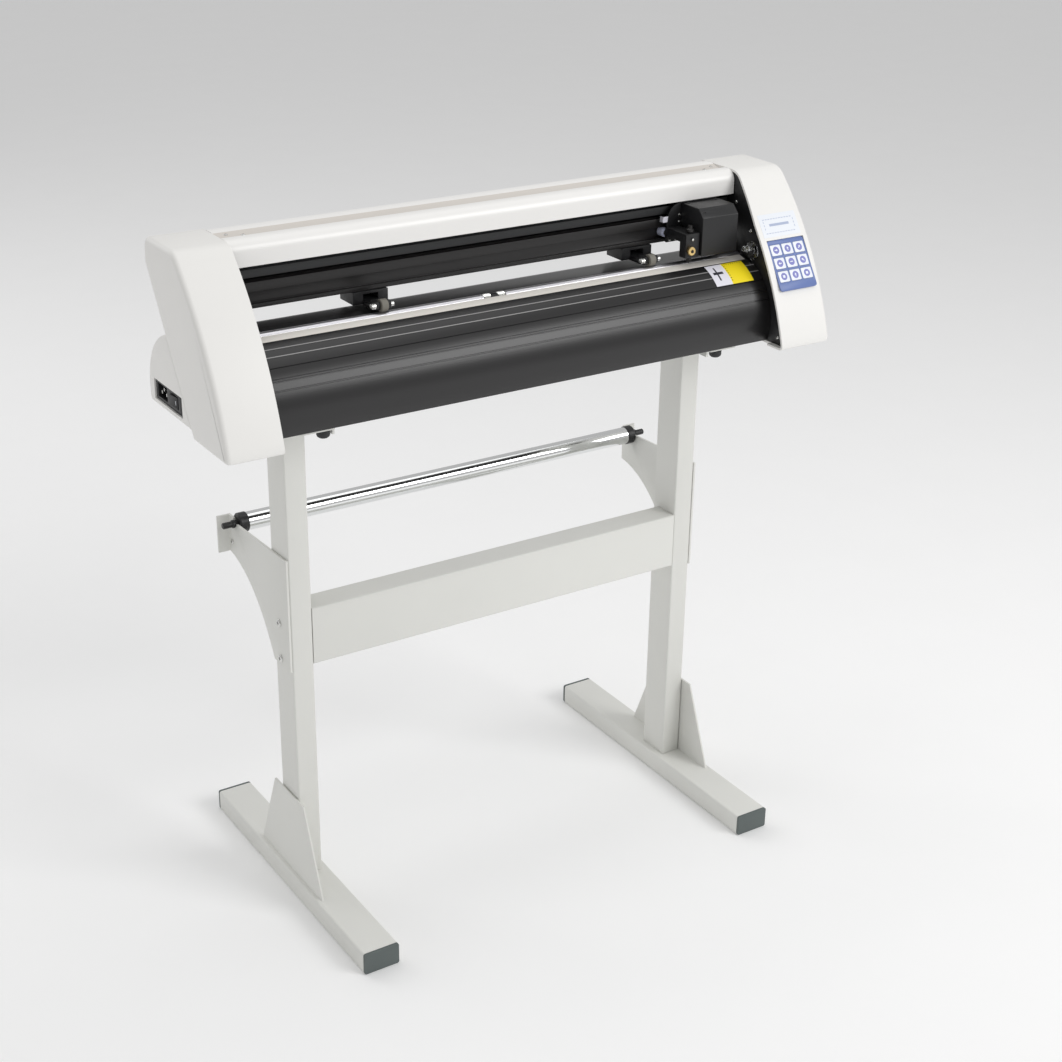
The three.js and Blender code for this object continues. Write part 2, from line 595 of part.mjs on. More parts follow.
// toothed disc in the X-Y plane, the first tooth pointing at the phase angle
function toothedShape(teeth, phase, bore) {
  const pitch = GEAR_MODULE * teeth / 2;
  const [tip, root] = [pitch + 0.8 * GEAR_MODULE, pitch - 1.1 * GEAR_MODULE];
  const step = Math.PI * 2 / teeth;
  const points = [];
  for (let i = 0; i < teeth; i += 1) {
    const middle = phase + i * step;
    for (const [offset, radius] of [[-0.3, root], [-0.13, tip], [0.13, tip], [0.3, root]]) {
      const angle = middle + offset * step;
      points.push(new THREE.Vector2(radius * Math.cos(angle), radius * Math.sin(angle)));
    }
  }
  const shape = new THREE.Shape(points);
  shape.holes.push(circle(0, 0, bore));
  return shape;
}

const meshAngle = THREE.MathUtils.degToRad(MESH_ANGLE);
const meshDistance = GEAR_MODULE * (GEAR_TEETH + PINION_TEETH) / 2 + MESH_CLEARANCE;
const pinionY = ROLLER.y + meshDistance * Math.cos(meshAngle);
const pinionZ = ROLLER.z + meshDistance * Math.sin(meshAngle);

function feedGear() {
  const shape = toothedShape(GEAR_TEETH, meshAngle, ROLLER.shaft + GAP);
  return prismX(shape, GEAR_X.from, GEAR_X.to, 6).translate(0, ROLLER.y, ROLLER.z);
}

function feedPinion() {
  const halfTooth = Math.PI / PINION_TEETH;
  const shape = toothedShape(PINION_TEETH, meshAngle + Math.PI + halfTooth, 1.2);
  shape.holes = [];
  const wheel = prismX(shape, GEAR_X.from, GEAR_X.to).translate(0, pinionY, pinionZ);
  return join(wheel, rodX(2.5, GEAR_X.to - 1, FEED_MOTOR.from - GAP, pinionY, pinionZ));
}

function feedMotor() {
  const half = FEED_MOTOR.side / 2;
  const section = roundedRect(half, half, 5, pinionY, pinionZ);
  return prismX(section, FEED_MOTOR.from, FEED_MOTOR.to, 1);
}

function carriageMotor() {
  const half = CARRIAGE_MOTOR.side / 2;
  const section = roundedRect(half, half, 4, -BELT.x, BELT.y);
  return prism(section, CARRIAGE_MOTOR.bottom, CARRIAGE_MOTOR.top, 1);
}

function pulley(side, shaftBottom) {
  const x = side * BELT.x;
  return join(
    rodZ(PULLEY.radius, BELT.bottom - 1, BELT.top + 1, x, BELT.y, 32),
    rodZ(PULLEY.flange, BELT.bottom - 2, BELT.bottom - GAP, x, BELT.y, 32),
    rodZ(PULLEY.flange, BELT.top + GAP, BELT.top + 2, x, BELT.y, 32),
    rodZ(2.5, shaftBottom, BELT.top + 5, x, BELT.y, 12));
}

function driveBelt() {
  const stadium = (radius) => {
    const shape = new THREE.Shape();
    shape.absarc(BELT.x, BELT.y, radius, -Math.PI / 2, Math.PI / 2);
    shape.absarc(-BELT.x, BELT.y, radius, Math.PI / 2, Math.PI * 1.5);
    return shape;
  };
  const loop = stadium(BELT.outer);
  loop.holes.push(stadium(BELT.inner));
  return prism(loop, BELT.bottom, BELT.top, 16);
}

// ---------------------------------------------------------------- carriage

const lowWheelZ = RAIL_LOW.bottom - GAP - WHEEL.radius;
const highWheelZ = RAIL_HIGH.top + GAP + WHEEL.radius;
const GUIDE_WHEELS = [
  ['lower_left_guide_wheel', 261, lowWheelZ],
  ['lower_right_guide_wheel', 330, lowWheelZ],
  ['upper_guide_wheel', 297, highWheelZ],
];

function carriagePlate() {
  const shape = new THREE.Shape();
  const tower = { left: 284, right: 310 };
  shape.moveTo(PLATE.left, PLATE.bottom);
  shape.lineTo(PLATE.right, PLATE.bottom);
  shape.lineTo(PLATE.right, PLATE.shoulder);
  shape.lineTo(tower.right, PLATE.shoulder);
  shape.lineTo(tower.right, PLATE.top);
  shape.lineTo(tower.left, PLATE.top);
  shape.lineTo(tower.left, PLATE.shoulder);
  shape.quadraticCurveTo(PLATE.left, PLATE.shoulder, PLATE.left, 850);
  const plate = prismY(shape, PLATE.front, PLATE.back, 6);
  const clamp = block(286, 312, PLATE.back - 1, BELT.y - BELT.outer - 0.4, BELT.bottom, BELT.top);
  const axles = GUIDE_WHEELS.map(([, x, z]) => rodY(WHEEL.bore - GAP, PLATE.back - 1, WHEEL.back - 0.5, x, z, 12));
  const bosses = GUIDE_WHEELS.map(([, x, z]) => rodY(4, PLATE.back - 1, WHEEL.front - GAP, x, z, 16));
  return join(plate, clamp, ...axles, ...bosses);
}

function guideWheel(x, z) {
  const profile = [
    [WHEEL.bore, 0], [WHEEL.radius - 0.8, 0], [WHEEL.radius, 0.8],
    [WHEEL.radius, 1], [WHEEL.radius, WHEEL.back - WHEEL.front - 0.8],
    [WHEEL.radius - 0.8, WHEEL.back - WHEEL.front], [WHEEL.bore, WHEEL.back - WHEEL.front], [WHEEL.bore, 0],
  ].map(([r, h]) => new THREE.Vector2(r, h));
  return new THREE.LatheGeometry(profile, SEG).translate(x, WHEEL.front, z);
}

function carriageCover() {
  const c = BOX_CHAMFER;
  const side = outline([
    [BOX.back, PASS_OVER.top], [BOX.back, BOX.top], [BOX.front + c, BOX.top], [BOX.front, BOX.top - c],
    [BOX.front, BOX.bottom], [PASS_OVER.front, BOX.bottom], [PASS_OVER.front, PASS_OVER.top],
  ]);
  const w = BOX.wall;
  const room = outline([
    [BOX.back + 1, BOX.bottom - 1], [BOX.back + 1, BOX.top - w], [BOX.front + c + 0.8, BOX.top - w],
    [BOX.front + w, BOX.top - c - 0.8], [BOX.front + w, BOX.bottom - 1],
  ]);
  const sight = block(BOX.left + 4, BOX.left + 8, BOX.front - 1, BOX.front + 7, BOX.top - 6, BOX.top - 2);
  return cut(prismX(side, BOX.left, BOX.right), prismX(room, BOX.left + w, BOX.right - w), sight);
}

function toolClamp() {
  const [left, right] = [TOOL.x - TOOL.halfWide, TOOL.x + TOOL.halfWide];
  const head = block(left, right, TOOL.front, PASS_OVER.front - 0.2, TOOL.bottom, TOOL.top);
  const arm = block(left, right, TOOL.front + 2, PLATE.front - 0.5, PASS_OVER.top + 3, TOOL.top);
  const bore = rodZ(TOOL.radius + GAP, TOOL.bottom - 1, TOOL.top + 1, TOOL.x, TOOL.y);
  const stud = rodY(1.6, NUT.front - 1.5, TOOL.front + 1, NUT.x, TOOL.z, 12);
  return cut(join(head, arm, stud), bore);
}

function bladeHolder() {
  const tip = 805;
  const profile = [
    [0, tip], [0.6, tip + 2], [0.9, tip + 3], [2.6, tip + 3.5], [3.2, tip + 6], [TOOL.radius, tip + 8],
    [TOOL.radius, TOOL.top + 1], [5, TOOL.top + 1.4], [5, TOOL.top + 5], [3, TOOL.top + 6], [3, 857], [0, 857],
  ].map(([r, z]) => new THREE.Vector2(r, z));
  const holder = new THREE.LatheGeometry(profile, SEG);
  return toGeometry(toSolid(holder.rotateX(Math.PI / 2).translate(TOOL.x, TOOL.y, 0)));
}

function clampNut() {
  const shape = new THREE.Shape();
  const flutes = 18;
  for (let i = 0; i < flutes * 2; i += 1) {
    const radius = i % 2 ? 5.7 : 6.1;
    const angle = Math.PI * i / flutes;
    const [x, z] = [radius * Math.cos(angle), radius * Math.sin(angle)];
    if (i === 0) {
      shape.moveTo(x, z);
    } else {
      shape.lineTo(x, z);
    }
  }
  shape.holes.push(circle(0, 0, 1.6 + GAP));
  return prismY(shape, NUT.front, TOOL.front - GAP, 4).translate(NUT.x, 0, TOOL.z);
}

// ---------------------------------------------------------------- pinch rollers

function pinchBracket(x) {
  const { halfWide, armHalf, sheet } = PINCH_BRACKET;
  const roof = block(x - halfWide, x + halfWide, -9, 30, 820.5, BEAM.bottom - 0.4);
  const cheeks = [-1, 1].map((s) => {
    const inside = x + s * (armHalf + 0.4);
    const outside = x + s * halfWide;
    const [from, to] = [Math.min(inside, outside), Math.max(inside, outside)];
    const cheek = block(from, to, -9, PINCH.pivotY + 8, 808, 821);
    const pocket = block(from + sheet, to - sheet, -9 + sheet, PINCH.pivotY + 9, 807, 819);
    return cut(cheek, pocket);
  });
  const pin = rodX(2, x - armHalf - 1, x + armHalf + 1, PINCH.pivotY, PINCH.pivotZ, 16);
  return join(roof, ...cheeks, pin);
}

function pinchArm(x) {
  const side = outline([
    [PINCH.pivotY + 12, 807], [PINCH.pivotY + 12, 813], [PINCH.pivotY + 5, 817.5], [PINCH.pivotY - 5, 817.5],
    [PINCH.pivotY - 10, 813], [-24, 813], [-28, 818.5], [-41, 818.5], [-43.5, 816], [-43.5, 810.5], [-41, 808.5],
    [-28, 806.8],
  ]);
  const arm = prismX(side, x - 10, x + 10);
  const fork = block(x - 5.3, x + 5.3, -60, -30.8, 800, 830);
  const axleHole = rodX(2.4, x - 12, x + 12, PINCH.y, PINCH_Z, 16);
  const pivotHole = rodX(2.4, x - 12, x + 12, PINCH.pivotY, PINCH.pivotZ, 16);
  return cut(arm, fork, axleHole, pivotHole);
}

function pinchRoller(x) {
  return join(
    rodX(PINCH.radius, x - 4.6, x + 4.6, PINCH.y, PINCH_Z, 28),
    rodX(2.1, x - 17, x + 15, PINCH.y, PINCH_Z, 16),
    rodX(3.7, x - 16, x - 10.4, PINCH.y, PINCH_Z, 20),
    rodX(3.2, x + 10.4, x + 14.5, PINCH.y, PINCH_Z, 20));
}

// ---------------------------------------------------------------- hand wheel and keypad

function handWheel() {
  const disc = rodX(HAND_WHEEL.radius, 362.5, 365, HAND_WHEEL.y, HAND_WHEEL.z, 32);
  const hub = rodX(4, 364, INNER + 0.2, HAND_WHEEL.y, HAND_WHEEL.z, 16);
  const peg = new THREE.CylinderGeometry(HAND_WHEEL.pegRoot, HAND_WHEEL.pegTip, 13, 20);
  peg.rotateZ(-Math.PI / 2).translate(356.5, HAND_WHEEL.pegY, HAND_WHEEL.pegZ);
  return join(disc, hub, peg);
}

function keyCentre(index) {
  const [column, row] = [index % 3, Math.floor(index / 3)];
  return [(column - 1) * KEY.pitchX, KEY.firstRow - row * KEY.pitchY];
}

function keypadPanel() {
  const shape = roundedRect(KEYPAD.wide / 2, KEYPAD.high / 2, KEYPAD.corner);
  for (let i = 0; i < 9; i += 1) {
    const [x, y] = keyCentre(i);
    shape.holes.push(roundedRect(KEY.wide / 2 + GAP, KEY.high / 2 + GAP, 1.5, x, y));
  }
  return prism(shape, -1.7, 0.3, 2);
}

function makeKeypad() {
  const keypad = new THREE.Group();
  keypad.position.set(KEYPAD.x, KEYPAD.y, KEYPAD.z);
  keypad.rotation.x = THREE.MathUtils.degToRad(KEYPAD.tilt);
  add(keypad, 'keypad_panel', keypadPanel(), blue);
  for (let i = 0; i < 9; i += 1) {
    const key = prism(roundedRect(KEY.wide / 2, KEY.high / 2, 1.5), -1.2, -1.2 + KEY.thick, 2);
    add(keypad, `key_${i + 1}`, key, white, [...keyCentre(i), 0]);
  }
  return keypad;
}

// ---------------------------------------------------------------- cutter

function makeCutter() {
  const cutter = new THREE.Group();
  for (const [name, side] of SIDES) {
    add(cutter, `${name}_end_cover`, endCover(side), abs);
    add(cutter, `${name}_rear_housing`, rearHousing(side), abs);
    add(cutter, `${name}_side_plate`, sidePlate(side), blackSteel);
  }
  add(cutter, 'power_inlet', powerInlet(), blackPlastic);
  add(cutter, 'power_rocker', powerRocker(), blackPlastic);
  add(cutter, 'top_cover', topCover(), white);
  add(cutter, 'beam', beam(), blackAnodised);
  add(cutter, 'front_platen', frontPlaten(), blackAnodised);
  add(cutter, 'rear_platen', rearPlaten(), blackAnodised);
  add(cutter, 'cutting_strip', cuttingStrip(), cream);
  add(cutter, 'feed_roller', feedRoller(), steel);
  add(cutter, 'feed_gear', feedGear(), steel);
  add(cutter, 'feed_pinion', feedPinion(), brass);
  add(cutter, 'feed_motor', feedMotor(), blackSteel);
  add(cutter, 'carriage_motor', carriageMotor(), blackSteel);
  add(cutter, 'drive_pulley', pulley(-1, CARRIAGE_MOTOR.top + GAP), steel);
  add(cutter, 'idler_pulley', pulley(1, BELT.bottom - 5), steel);
  add(cutter, 'drive_belt', driveBelt(), rubber);
  add(cutter, 'hand_wheel', handWheel(), clear);
  cutter.add(makeKeypad());
  return cutter;
}

function makeCarriage() {
  const carriage = new THREE.Group();
  add(carriage, 'carriage_plate', carriagePlate(), blackSteel);
  add(carriage, 'carriage_cover', carriageCover(), blackPlastic);
  for (const [name, x, z] of GUIDE_WHEELS) {
    add(carriage, name, guideWheel(x, z), nylon);
  }
  add(carriage, 'tool_clamp', toolClamp(), blackSteel);
  add(carriage, 'blade_holder', bladeHolder(), blackAnodised);
  add(carriage, 'clamp_nut', clampNut(), brass);
  return carriage;
}

function makePinchRollers() {
  const group = new THREE.Group();
  PINCH_X.forEach((x, i) => {
    const [name] = SIDES[i];
    add(group, `${name}_pinch_bracket`, pinchBracket(x), blackSteel);
    add(group, `${name}_pinch_arm`, pinchArm(x), blackPlastic);
    add(group, `${name}_pinch_roller`, pinchRoller(x), rubber);
  });
  return group;
}

const model = new THREE.Group();
model.add(makeStand(), makeCutter(), makeCarriage(), makePinchRollers());

export default model;
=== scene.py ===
import math

import bpy
import bmesh
from mathutils import Matrix, Vector


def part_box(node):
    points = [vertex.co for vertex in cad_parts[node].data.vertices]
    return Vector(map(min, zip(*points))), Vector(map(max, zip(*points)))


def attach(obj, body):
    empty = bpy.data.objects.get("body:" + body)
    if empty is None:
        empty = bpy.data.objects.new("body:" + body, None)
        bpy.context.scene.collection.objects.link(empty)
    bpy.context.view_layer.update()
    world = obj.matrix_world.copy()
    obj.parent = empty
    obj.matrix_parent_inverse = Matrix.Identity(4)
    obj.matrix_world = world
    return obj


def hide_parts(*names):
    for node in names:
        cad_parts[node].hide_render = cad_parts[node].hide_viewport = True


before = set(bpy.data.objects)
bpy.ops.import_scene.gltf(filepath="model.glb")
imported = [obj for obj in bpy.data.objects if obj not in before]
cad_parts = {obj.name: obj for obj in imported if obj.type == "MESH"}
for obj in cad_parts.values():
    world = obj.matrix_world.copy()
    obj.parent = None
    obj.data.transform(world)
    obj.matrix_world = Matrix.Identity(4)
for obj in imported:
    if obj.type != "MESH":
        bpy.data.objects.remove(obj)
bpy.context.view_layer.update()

MM = 0.001
X_AXIS, Y_AXIS, Z_AXIS = Vector((1, 0, 0)), Vector((0, 1, 0)), Vector((0, 0, 1))
SIDES = (("left", -1), ("right", 1))


# ------------------------------------------------------------------ camera, light, floor

def make_camera():
    azimuth, elevation, roll = (math.radians(angle) for angle in (-33.009, 24.282, 0.873))
    back = Vector((
        math.sin(azimuth) * math.cos(elevation),
        -math.cos(azimuth) * math.cos(elevation),
        math.sin(elevation)))
    level_right = Vector((math.cos(azimuth), math.sin(azimuth), 0))
    level_up = back.cross(level_right)
    right = math.cos(roll) * level_right + math.sin(roll) * level_up
    up = math.cos(roll) * level_up - math.sin(roll) * level_right
    camera = bpy.data.objects.new("camera", bpy.data.cameras.new("camera"))
    bpy.context.scene.collection.objects.link(camera)
    rotation = Matrix((right, up, back)).transposed().to_4x4()
    camera.matrix_world = Matrix.Translation((-1.1757, -1.9055, 1.4674)) @ rotation
    camera.data.lens = 61.45
    camera.data.sensor_width = 36.0
    camera.data.clip_end = 60.0
    bpy.context.scene.camera = camera


def area_light(name, location, target, size, power):
    data = bpy.data.lights.new(name, "AREA")
    data.shape = "RECTANGLE"
    data.size, data.size_y = size
    data.energy = power
    light = bpy.data.objects.new(name, data)
    bpy.context.scene.collection.objects.link(light)
    light.location = location
    direction = Vector(target) - Vector(location)
    light.rotation_euler = direction.to_track_quat("-Z", "Y").to_euler()


def make_studio():
    scene = bpy.context.scene
    scene.view_settings.view_transform = "Standard"
    world = bpy.data.worlds.new("studio")
    scene.world = world
    world.use_nodes = True
    background = world.node_tree.nodes["Background"]
    background.inputs["Color"].default_value = (1.0, 1.0, 1.0, 1.0)
    background.inputs["Strength"].default_value = 0.56
    middle = (0.0, 0.0, 0.7)
    area_light("key_light", (1.9, -2.9, 2.5), middle, (2.0, 1.8), 60.0)
    area_light("top_light", (0.2, 0.3, 3.6), middle, (3.0, 2.4), 20.0)
    area_light("rim_light", (-1.6, 3.0, 2.2), middle, (1.8, 2.2), 16.0)


def make_floor():
    half = 9.0
    mesh = bpy.data.meshes.new("floor")
    below_feet = -0.0004
    corners = [(-half, -half), (half, -half), (half, half), (-half, half)]
    mesh.from_pydata([(x, y, below_feet) for x, y in corners], [], [(0, 1, 2, 3)])
    floor = bpy.data.objects.new("floor", mesh)
    bpy.context.scene.collection.objects.link(floor)
    floor.data.materials.append(surface(
        "floor_paint", (0.985, 0.985, 0.985), 0.85, grain=40, bump=0.01, vary=0.004, rough_vary=0.02))


# ------------------------------------------------------------------ materials

def surface(
        name, colour, roughness, metallic=0.0, grain=900, bump=0.1, vary=0.04, streak=None,
        dirt=0.0, rough_vary=0.06):
    """A procedural surface: fine bump, slow colour change, uneven roughness, optional streaks along X."""
    material = bpy.data.materials.new(name)
    material.use_nodes = True
    tree = material.node_tree
    shader = tree.nodes["Principled BSDF"]
    shader.inputs["Metallic"].default_value = metallic
    coordinates = tree.nodes.new("ShaderNodeTexCoord")
    mapping = tree.nodes.new("ShaderNodeMapping")
    mapping.inputs["Scale"].default_value = streak or (1.0, 1.0, 1.0)
    tree.links.new(coordinates.outputs["Object"], mapping.inputs["Vector"])

    def noise(scale, detail, rough=0.55):
        node = tree.nodes.new("ShaderNodeTexNoise")
        node.inputs["Scale"].default_value = scale
        node.inputs["Detail"].default_value = detail
        node.inputs["Roughness"].default_value = rough
        tree.links.new(mapping.outputs["Vector"], node.inputs["Vector"])
        return node

    slow = noise(7.0, 4.0)
    fine = noise(grain, 2.0)
    ramp = tree.nodes.new("ShaderNodeValToRGB")
    ramp.color_ramp.elements[0].position = 0.3
    ramp.color_ramp.elements[1].position = 0.7
    ramp.color_ramp.elements[0].color = (*[c * (1 - vary) for c in colour], 1)
    ramp.color_ramp.elements[1].color = (*[min(1.0, c * (1 + vary)) for c in colour], 1)
    tree.links.new(slow.outputs["Fac"], ramp.inputs["Fac"])
    source = ramp.outputs["Color"]
    if dirt > 0:
        specks = noise(60.0, 8.0, 0.8)
        spots = tree.nodes.new("ShaderNodeMapRange")
        spots.inputs["From Min"].default_value = 0.62
        spots.inputs["From Max"].default_value = 0.8
        spots.inputs["To Max"].default_value = dirt
        tree.links.new(specks.outputs["Fac"], spots.inputs["Value"])
        mix = tree.nodes.new("ShaderNodeMixRGB")
        mix.blend_type = "MULTIPLY"
        mix.inputs["Color2"].default_value = (0.45, 0.43, 0.40, 1)
        tree.links.new(spots.outputs["Result"], mix.inputs["Fac"])
        tree.links.new(source, mix.inputs["Color1"])
        source = mix.outputs["Color"]
    tree.links.new(source, shader.inputs["Base Color"])
    uneven = tree.nodes.new("ShaderNodeMapRange")
    uneven.inputs["To Min"].default_value = max(0.02, roughness - rough_vary)
    uneven.inputs["To Max"].default_value = min(1.0, roughness + rough_vary)
    tree.links.new(slow.outputs["Fac"], uneven.inputs["Value"])
    tree.links.new(uneven.outputs["Result"], shader.inputs["Roughness"])
    relief = tree.nodes.new("ShaderNodeBump")
    relief.inputs["Strength"].default_value = bump
    relief.inputs["Distance"].default_value = 0.0004
    tree.links.new(fine.outputs["Fac"], relief.inputs["Height"])
    tree.links.new(relief.outputs["Normal"], shader.inputs["Normal"])
    return material


def clear_surface(name, colour, roughness):
    material = surface(name, colour, roughness, grain=300, bump=0.03, rough_vary=0.02)
    shader = material.node_tree.nodes["Principled BSDF"]
    shader.inputs["Transmission Weight"].default_value = 1.0
    shader.inputs["IOR"].default_value = 1.49
    return material


ALONG_X = (0.02, 1.0, 1.0)
MATERIALS = {
    "stand_paint": surface(
        "stand_paint", (0.735, 0.735, 0.700), 0.46, grain=1400, bump=0.22, vary=0.015, dirt=0.10),
    "cover_plastic": surface("cover_plastic", (0.835, 0.825, 0.800), 0.42, grain=2200, bump=0.10, vary=0.012),
    "plug_plastic": surface("plug_plastic", (0.105, 0.125, 0.122), 0.55, grain=1500, bump=0.3, vary=0.08),
    "black_plastic": surface("black_plastic", (0.009, 0.009, 0.010), 0.40, grain=2000, bump=0.25, vary=0.1),
    "black_anodised": surface(
        "black_anodised", (0.013, 0.012, 0.012), 0.36, 0.1, grain=900, bump=0.1, vary=0.1, streak=ALONG_X),
    "platen_black": surface(
        "platen_black", (0.012, 0.0115, 0.012), 0.30, 0.0, grain=700, bump=0.06, vary=0.08, streak=ALONG_X),
    "black_steel": surface("black_steel", (0.010, 0.010, 0.011), 0.46, grain=1300, bump=0.3, vary=0.1),
    # painted highlight: the ribs are the platen's own black, and this grey stands in for the light caught
    # along them
    "rib_grey": surface(
        "rib_grey", (0.30, 0.295, 0.295), 0.35, grain=700, bump=0.06, vary=0.06, streak=ALONG_X),
    "white_cover": surface(
        "white_cover", (0.86, 0.85, 0.83), 0.30, 0.0, grain=900, bump=0.05, vary=0.01, streak=ALONG_X),
    # painted shade: a darker beige copy of the white top cover, standing in for the shade that falls in the
    # shallow valley on its top
    "valley_painted_shade": surface(
        "valley_painted_shade", (0.66, 0.62, 0.575), 0.42, grain=900, bump=0.05, vary=0.02, streak=ALONG_X),
    "chrome_tube": surface(
        "chrome_tube", (0.76, 0.77, 0.77), 0.10, 1.0, grain=400, bump=0.03, vary=0.05, streak=ALONG_X),
    "bright_steel": surface("bright_steel", (0.72, 0.71, 0.74), 0.30, 1.0, grain=1500, bump=0.25, vary=0.06),
    "screw_steel": surface("screw_steel", (0.66, 0.66, 0.64), 0.25, 1.0, grain=1200, bump=0.1, vary=0.08),
    "brass": surface("brass", (0.76, 0.55, 0.24), 0.30, 1.0, grain=900, bump=0.15, vary=0.12),
    "grey_rubber": surface("grey_rubber", (0.19, 0.18, 0.155), 0.75, grain=1800, bump=0.5, vary=0.12),
    "black_rubber": surface("black_rubber", (0.020, 0.021, 0.022), 0.60, grain=1500, bump=0.4, vary=0.1),
    "wheel_nylon": surface("wheel_nylon", (0.66, 0.69, 0.85), 0.28, grain=900, bump=0.05),
    "cream_strip": surface(
        "cream_strip", (0.76, 0.73, 0.68), 0.45, grain=600, bump=0.12, vary=0.04, streak=ALONG_X),
    "clear_plastic": clear_surface("clear_plastic", (0.97, 0.98, 0.98), 0.03),
    "key_blue": surface("key_blue", (0.130, 0.190, 0.430), 0.40, grain=2000, bump=0.08, vary=0.03),
    "key_white": surface("key_white", (0.82, 0.85, 0.92), 0.35, grain=2000, bump=0.05, vary=0.01),
    "icon_violet": surface("icon_violet", (0.20, 0.21, 0.52), 0.40, grain=1200, bump=0.05, vary=0.05),
    "label_white": surface("label_white", (0.80, 0.83, 0.88), 0.35, grain=1500, bump=0.05, vary=0.01),
    "label_line": surface("label_line", (0.40, 0.46, 0.62), 0.45, grain=1500, bump=0.05, vary=0.03),
    "sticker_white": surface("sticker_white", (0.80, 0.79, 0.86), 0.40, grain=1200, bump=0.05, vary=0.02),
    "sticker_yellow": surface("sticker_yellow", (0.93, 0.74, 0.01), 0.40, grain=1200, bump=0.05, vary=0.03),
    "sticker_black": surface("sticker_black", (0.02, 0.02, 0.03), 0.50, grain=1200, bump=0.05),
}


# ------------------------------------------------------------------ mesh tools

BEVEL_SEGMENTS = 2

def finish_piece(piece, material, body, bevel=0.0, replaces=(), sharp=32):
    """Gives a piece its finish, its rounded edges and the body that it rides on."""
    for name in [material] if isinstance(material, str) else material:
        piece.data.materials.append(MATERIALS[name])
    piece.data.polygons.foreach_set("use_smooth", [True] * len(piece.data.polygons))
    piece.data.set_sharp_from_angle(angle=math.radians(sharp))
    if bevel > 0:
        rounding = piece.modifiers.new("rounding", "BEVEL")
        rounding.width = bevel * MM
        rounding.segments = BEVEL_SEGMENTS
        rounding.limit_method = "ANGLE"
        rounding.angle_limit = math.radians(sharp + 6)
        rounding.harden_normals = True
    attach(piece, body)
    if replaces:
        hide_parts(*replaces)
    return piece


def mesh_object(name, vertices, faces, face_slots=None):
    mesh = bpy.data.meshes.new(name)
    mesh.from_pydata([Vector(v) * MM for v in vertices], [], faces)
    if face_slots:
        mesh.polygons.foreach_set("material_index", face_slots)
    work = bmesh.new()
    work.from_mesh(mesh)
    bmesh.ops.remove_doubles(work, verts=work.verts, dist=1e-7)
    bmesh.ops.recalc_face_normals(work, faces=work.faces)
    work.to_mesh(mesh)
    work.free()
    piece = bpy.data.objects.new(name, mesh)
    bpy.context.scene.collection.objects.link(piece)
    return piece


def loft(rings, closed=False, first=0):
    """Faces between rings of equally many points, with end caps unless the rings close on themselves."""
    count = len(rings[0])
    vertices = [point for ring in rings for point in ring]
    faces = []
    spans = len(rings) if closed else len(rings) - 1
    for i in range(spans):
        low, high = i * count, (i + 1) % len(rings) * count
        for j in range(count):
            k = (j + 1) % count
            faces.append((first + low + j, first + low + k, first + high + k, first + high + j))
    if not closed:
        faces.append(tuple(first + j for j in reversed(range(count))))
        faces.append(tuple(first + (len(rings) - 1) * count + j for j in range(count)))
    return vertices, faces


def prism_x(outline, x0, x1):
    return loft([[(x, y, z) for y, z in outline] for x in (x0, x1)])


def turned(profile, centre, axis, sides=48, closed=False):
    """A lathe shape. The profile is (radius, distance along the axis), all in millimetres."""
    axis = Vector(axis).normalized()
    side = (Y_AXIS if abs(axis.y) < 0.9 else Z_AXIS).cross(axis).normalized()
    other = axis.cross(side)
    rings = []
    for radius, along in profile:
        middle = Vector(centre) + axis * along
        rings.append([
            tuple(middle + radius * (
                math.cos(2 * math.pi * i / sides) * side
                + math.sin(2 * math.pi * i / sides) * other))
            for i in range(sides)])
    return loft(rings, closed)


def merged(*shapes):
    vertices, faces = [], []
    for shape_vertices, shape_faces in shapes:
        first = len(vertices)
        vertices.extend(shape_vertices)
        faces.extend(tuple(first + i for i in face) for face in shape_faces)
    return vertices, faces


def box_shape(low, high):
    (x0, y0, z0), (x1, y1, z1) = low, high
    return loft([[(x, y0, z0), (x, y1, z0), (x, y1, z1), (x, y0, z1)] for x in (x0, x1)])


def bezier(start, control, end, steps, include_start=True):
    points = []
    for i in range(0 if include_start else 1, steps + 1):
        t = i / steps
        points.append(tuple(
            (1 - t) ** 2 * a + 2 * t * (1 - t) * c + t * t * b for a, c, b in zip(start, control, end)))
    return points


def arc(centre, radius, start, end, steps):
    """Points on a circle, with angles in degrees."""
    return [
        (centre[0] + radius * math.cos(math.radians(start + (end - start) * i / steps)),
         centre[1] + radius * math.sin(math.radians(start + (end - start) * i / steps)))
        for i in range(steps + 1)]


def offset(outline, distance):
    """Moves each side of a closed outline inwards by a distance."""
    points = [Vector(p) for p in outline]
    count = len(points)
    area = 0.0
    for i, point in enumerate(points):
        after = points[(i + 1) % count]
        area += point.x * after.y - after.x * point.y
    turn = 1 if area > 0 else -1
    moved = []
    for i, point in enumerate(points):
        before = (point - points[i - 1]).normalized()
        after = (points[(i + 1) % count] - point).normalized()
        normals = [Vector((-d.y, d.x)) * turn for d in (before, after)]
        middle = (normals[0] + normals[1]).normalized()
        reach = distance / max(0.35, middle.dot(normals[1]))
        moved.append(tuple(point + middle * reach))
    return moved


def cut_out(piece, *shapes):
    """Cuts closed shapes out of a piece, before it gets its finish."""
    cutters = []
    for i, (vertices, faces) in enumerate(shapes):
        cutter = mesh_object(f"cutter_{i}", vertices, faces)
        step = piece.modifiers.new("cut", "BOOLEAN")
        step.operation = "DIFFERENCE"
        step.solver = "EXACT"
        step.object = cutter
        cutters.append(cutter)
    evaluated = piece.evaluated_get(bpy.context.evaluated_depsgraph_get())
    piece.data = bpy.data.meshes.new_from_object(evaluated)
    piece.modifiers.clear()
    for cutter in cutters:
        bpy.data.objects.remove(cutter)
    return piece


def box_mm(node):
    """A CAD node's lowest and highest corners, in millimetres."""
    low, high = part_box(node)
    return low / MM, high / MM


# ------------------------------------------------------------------ CAD nodes that are shown as they are

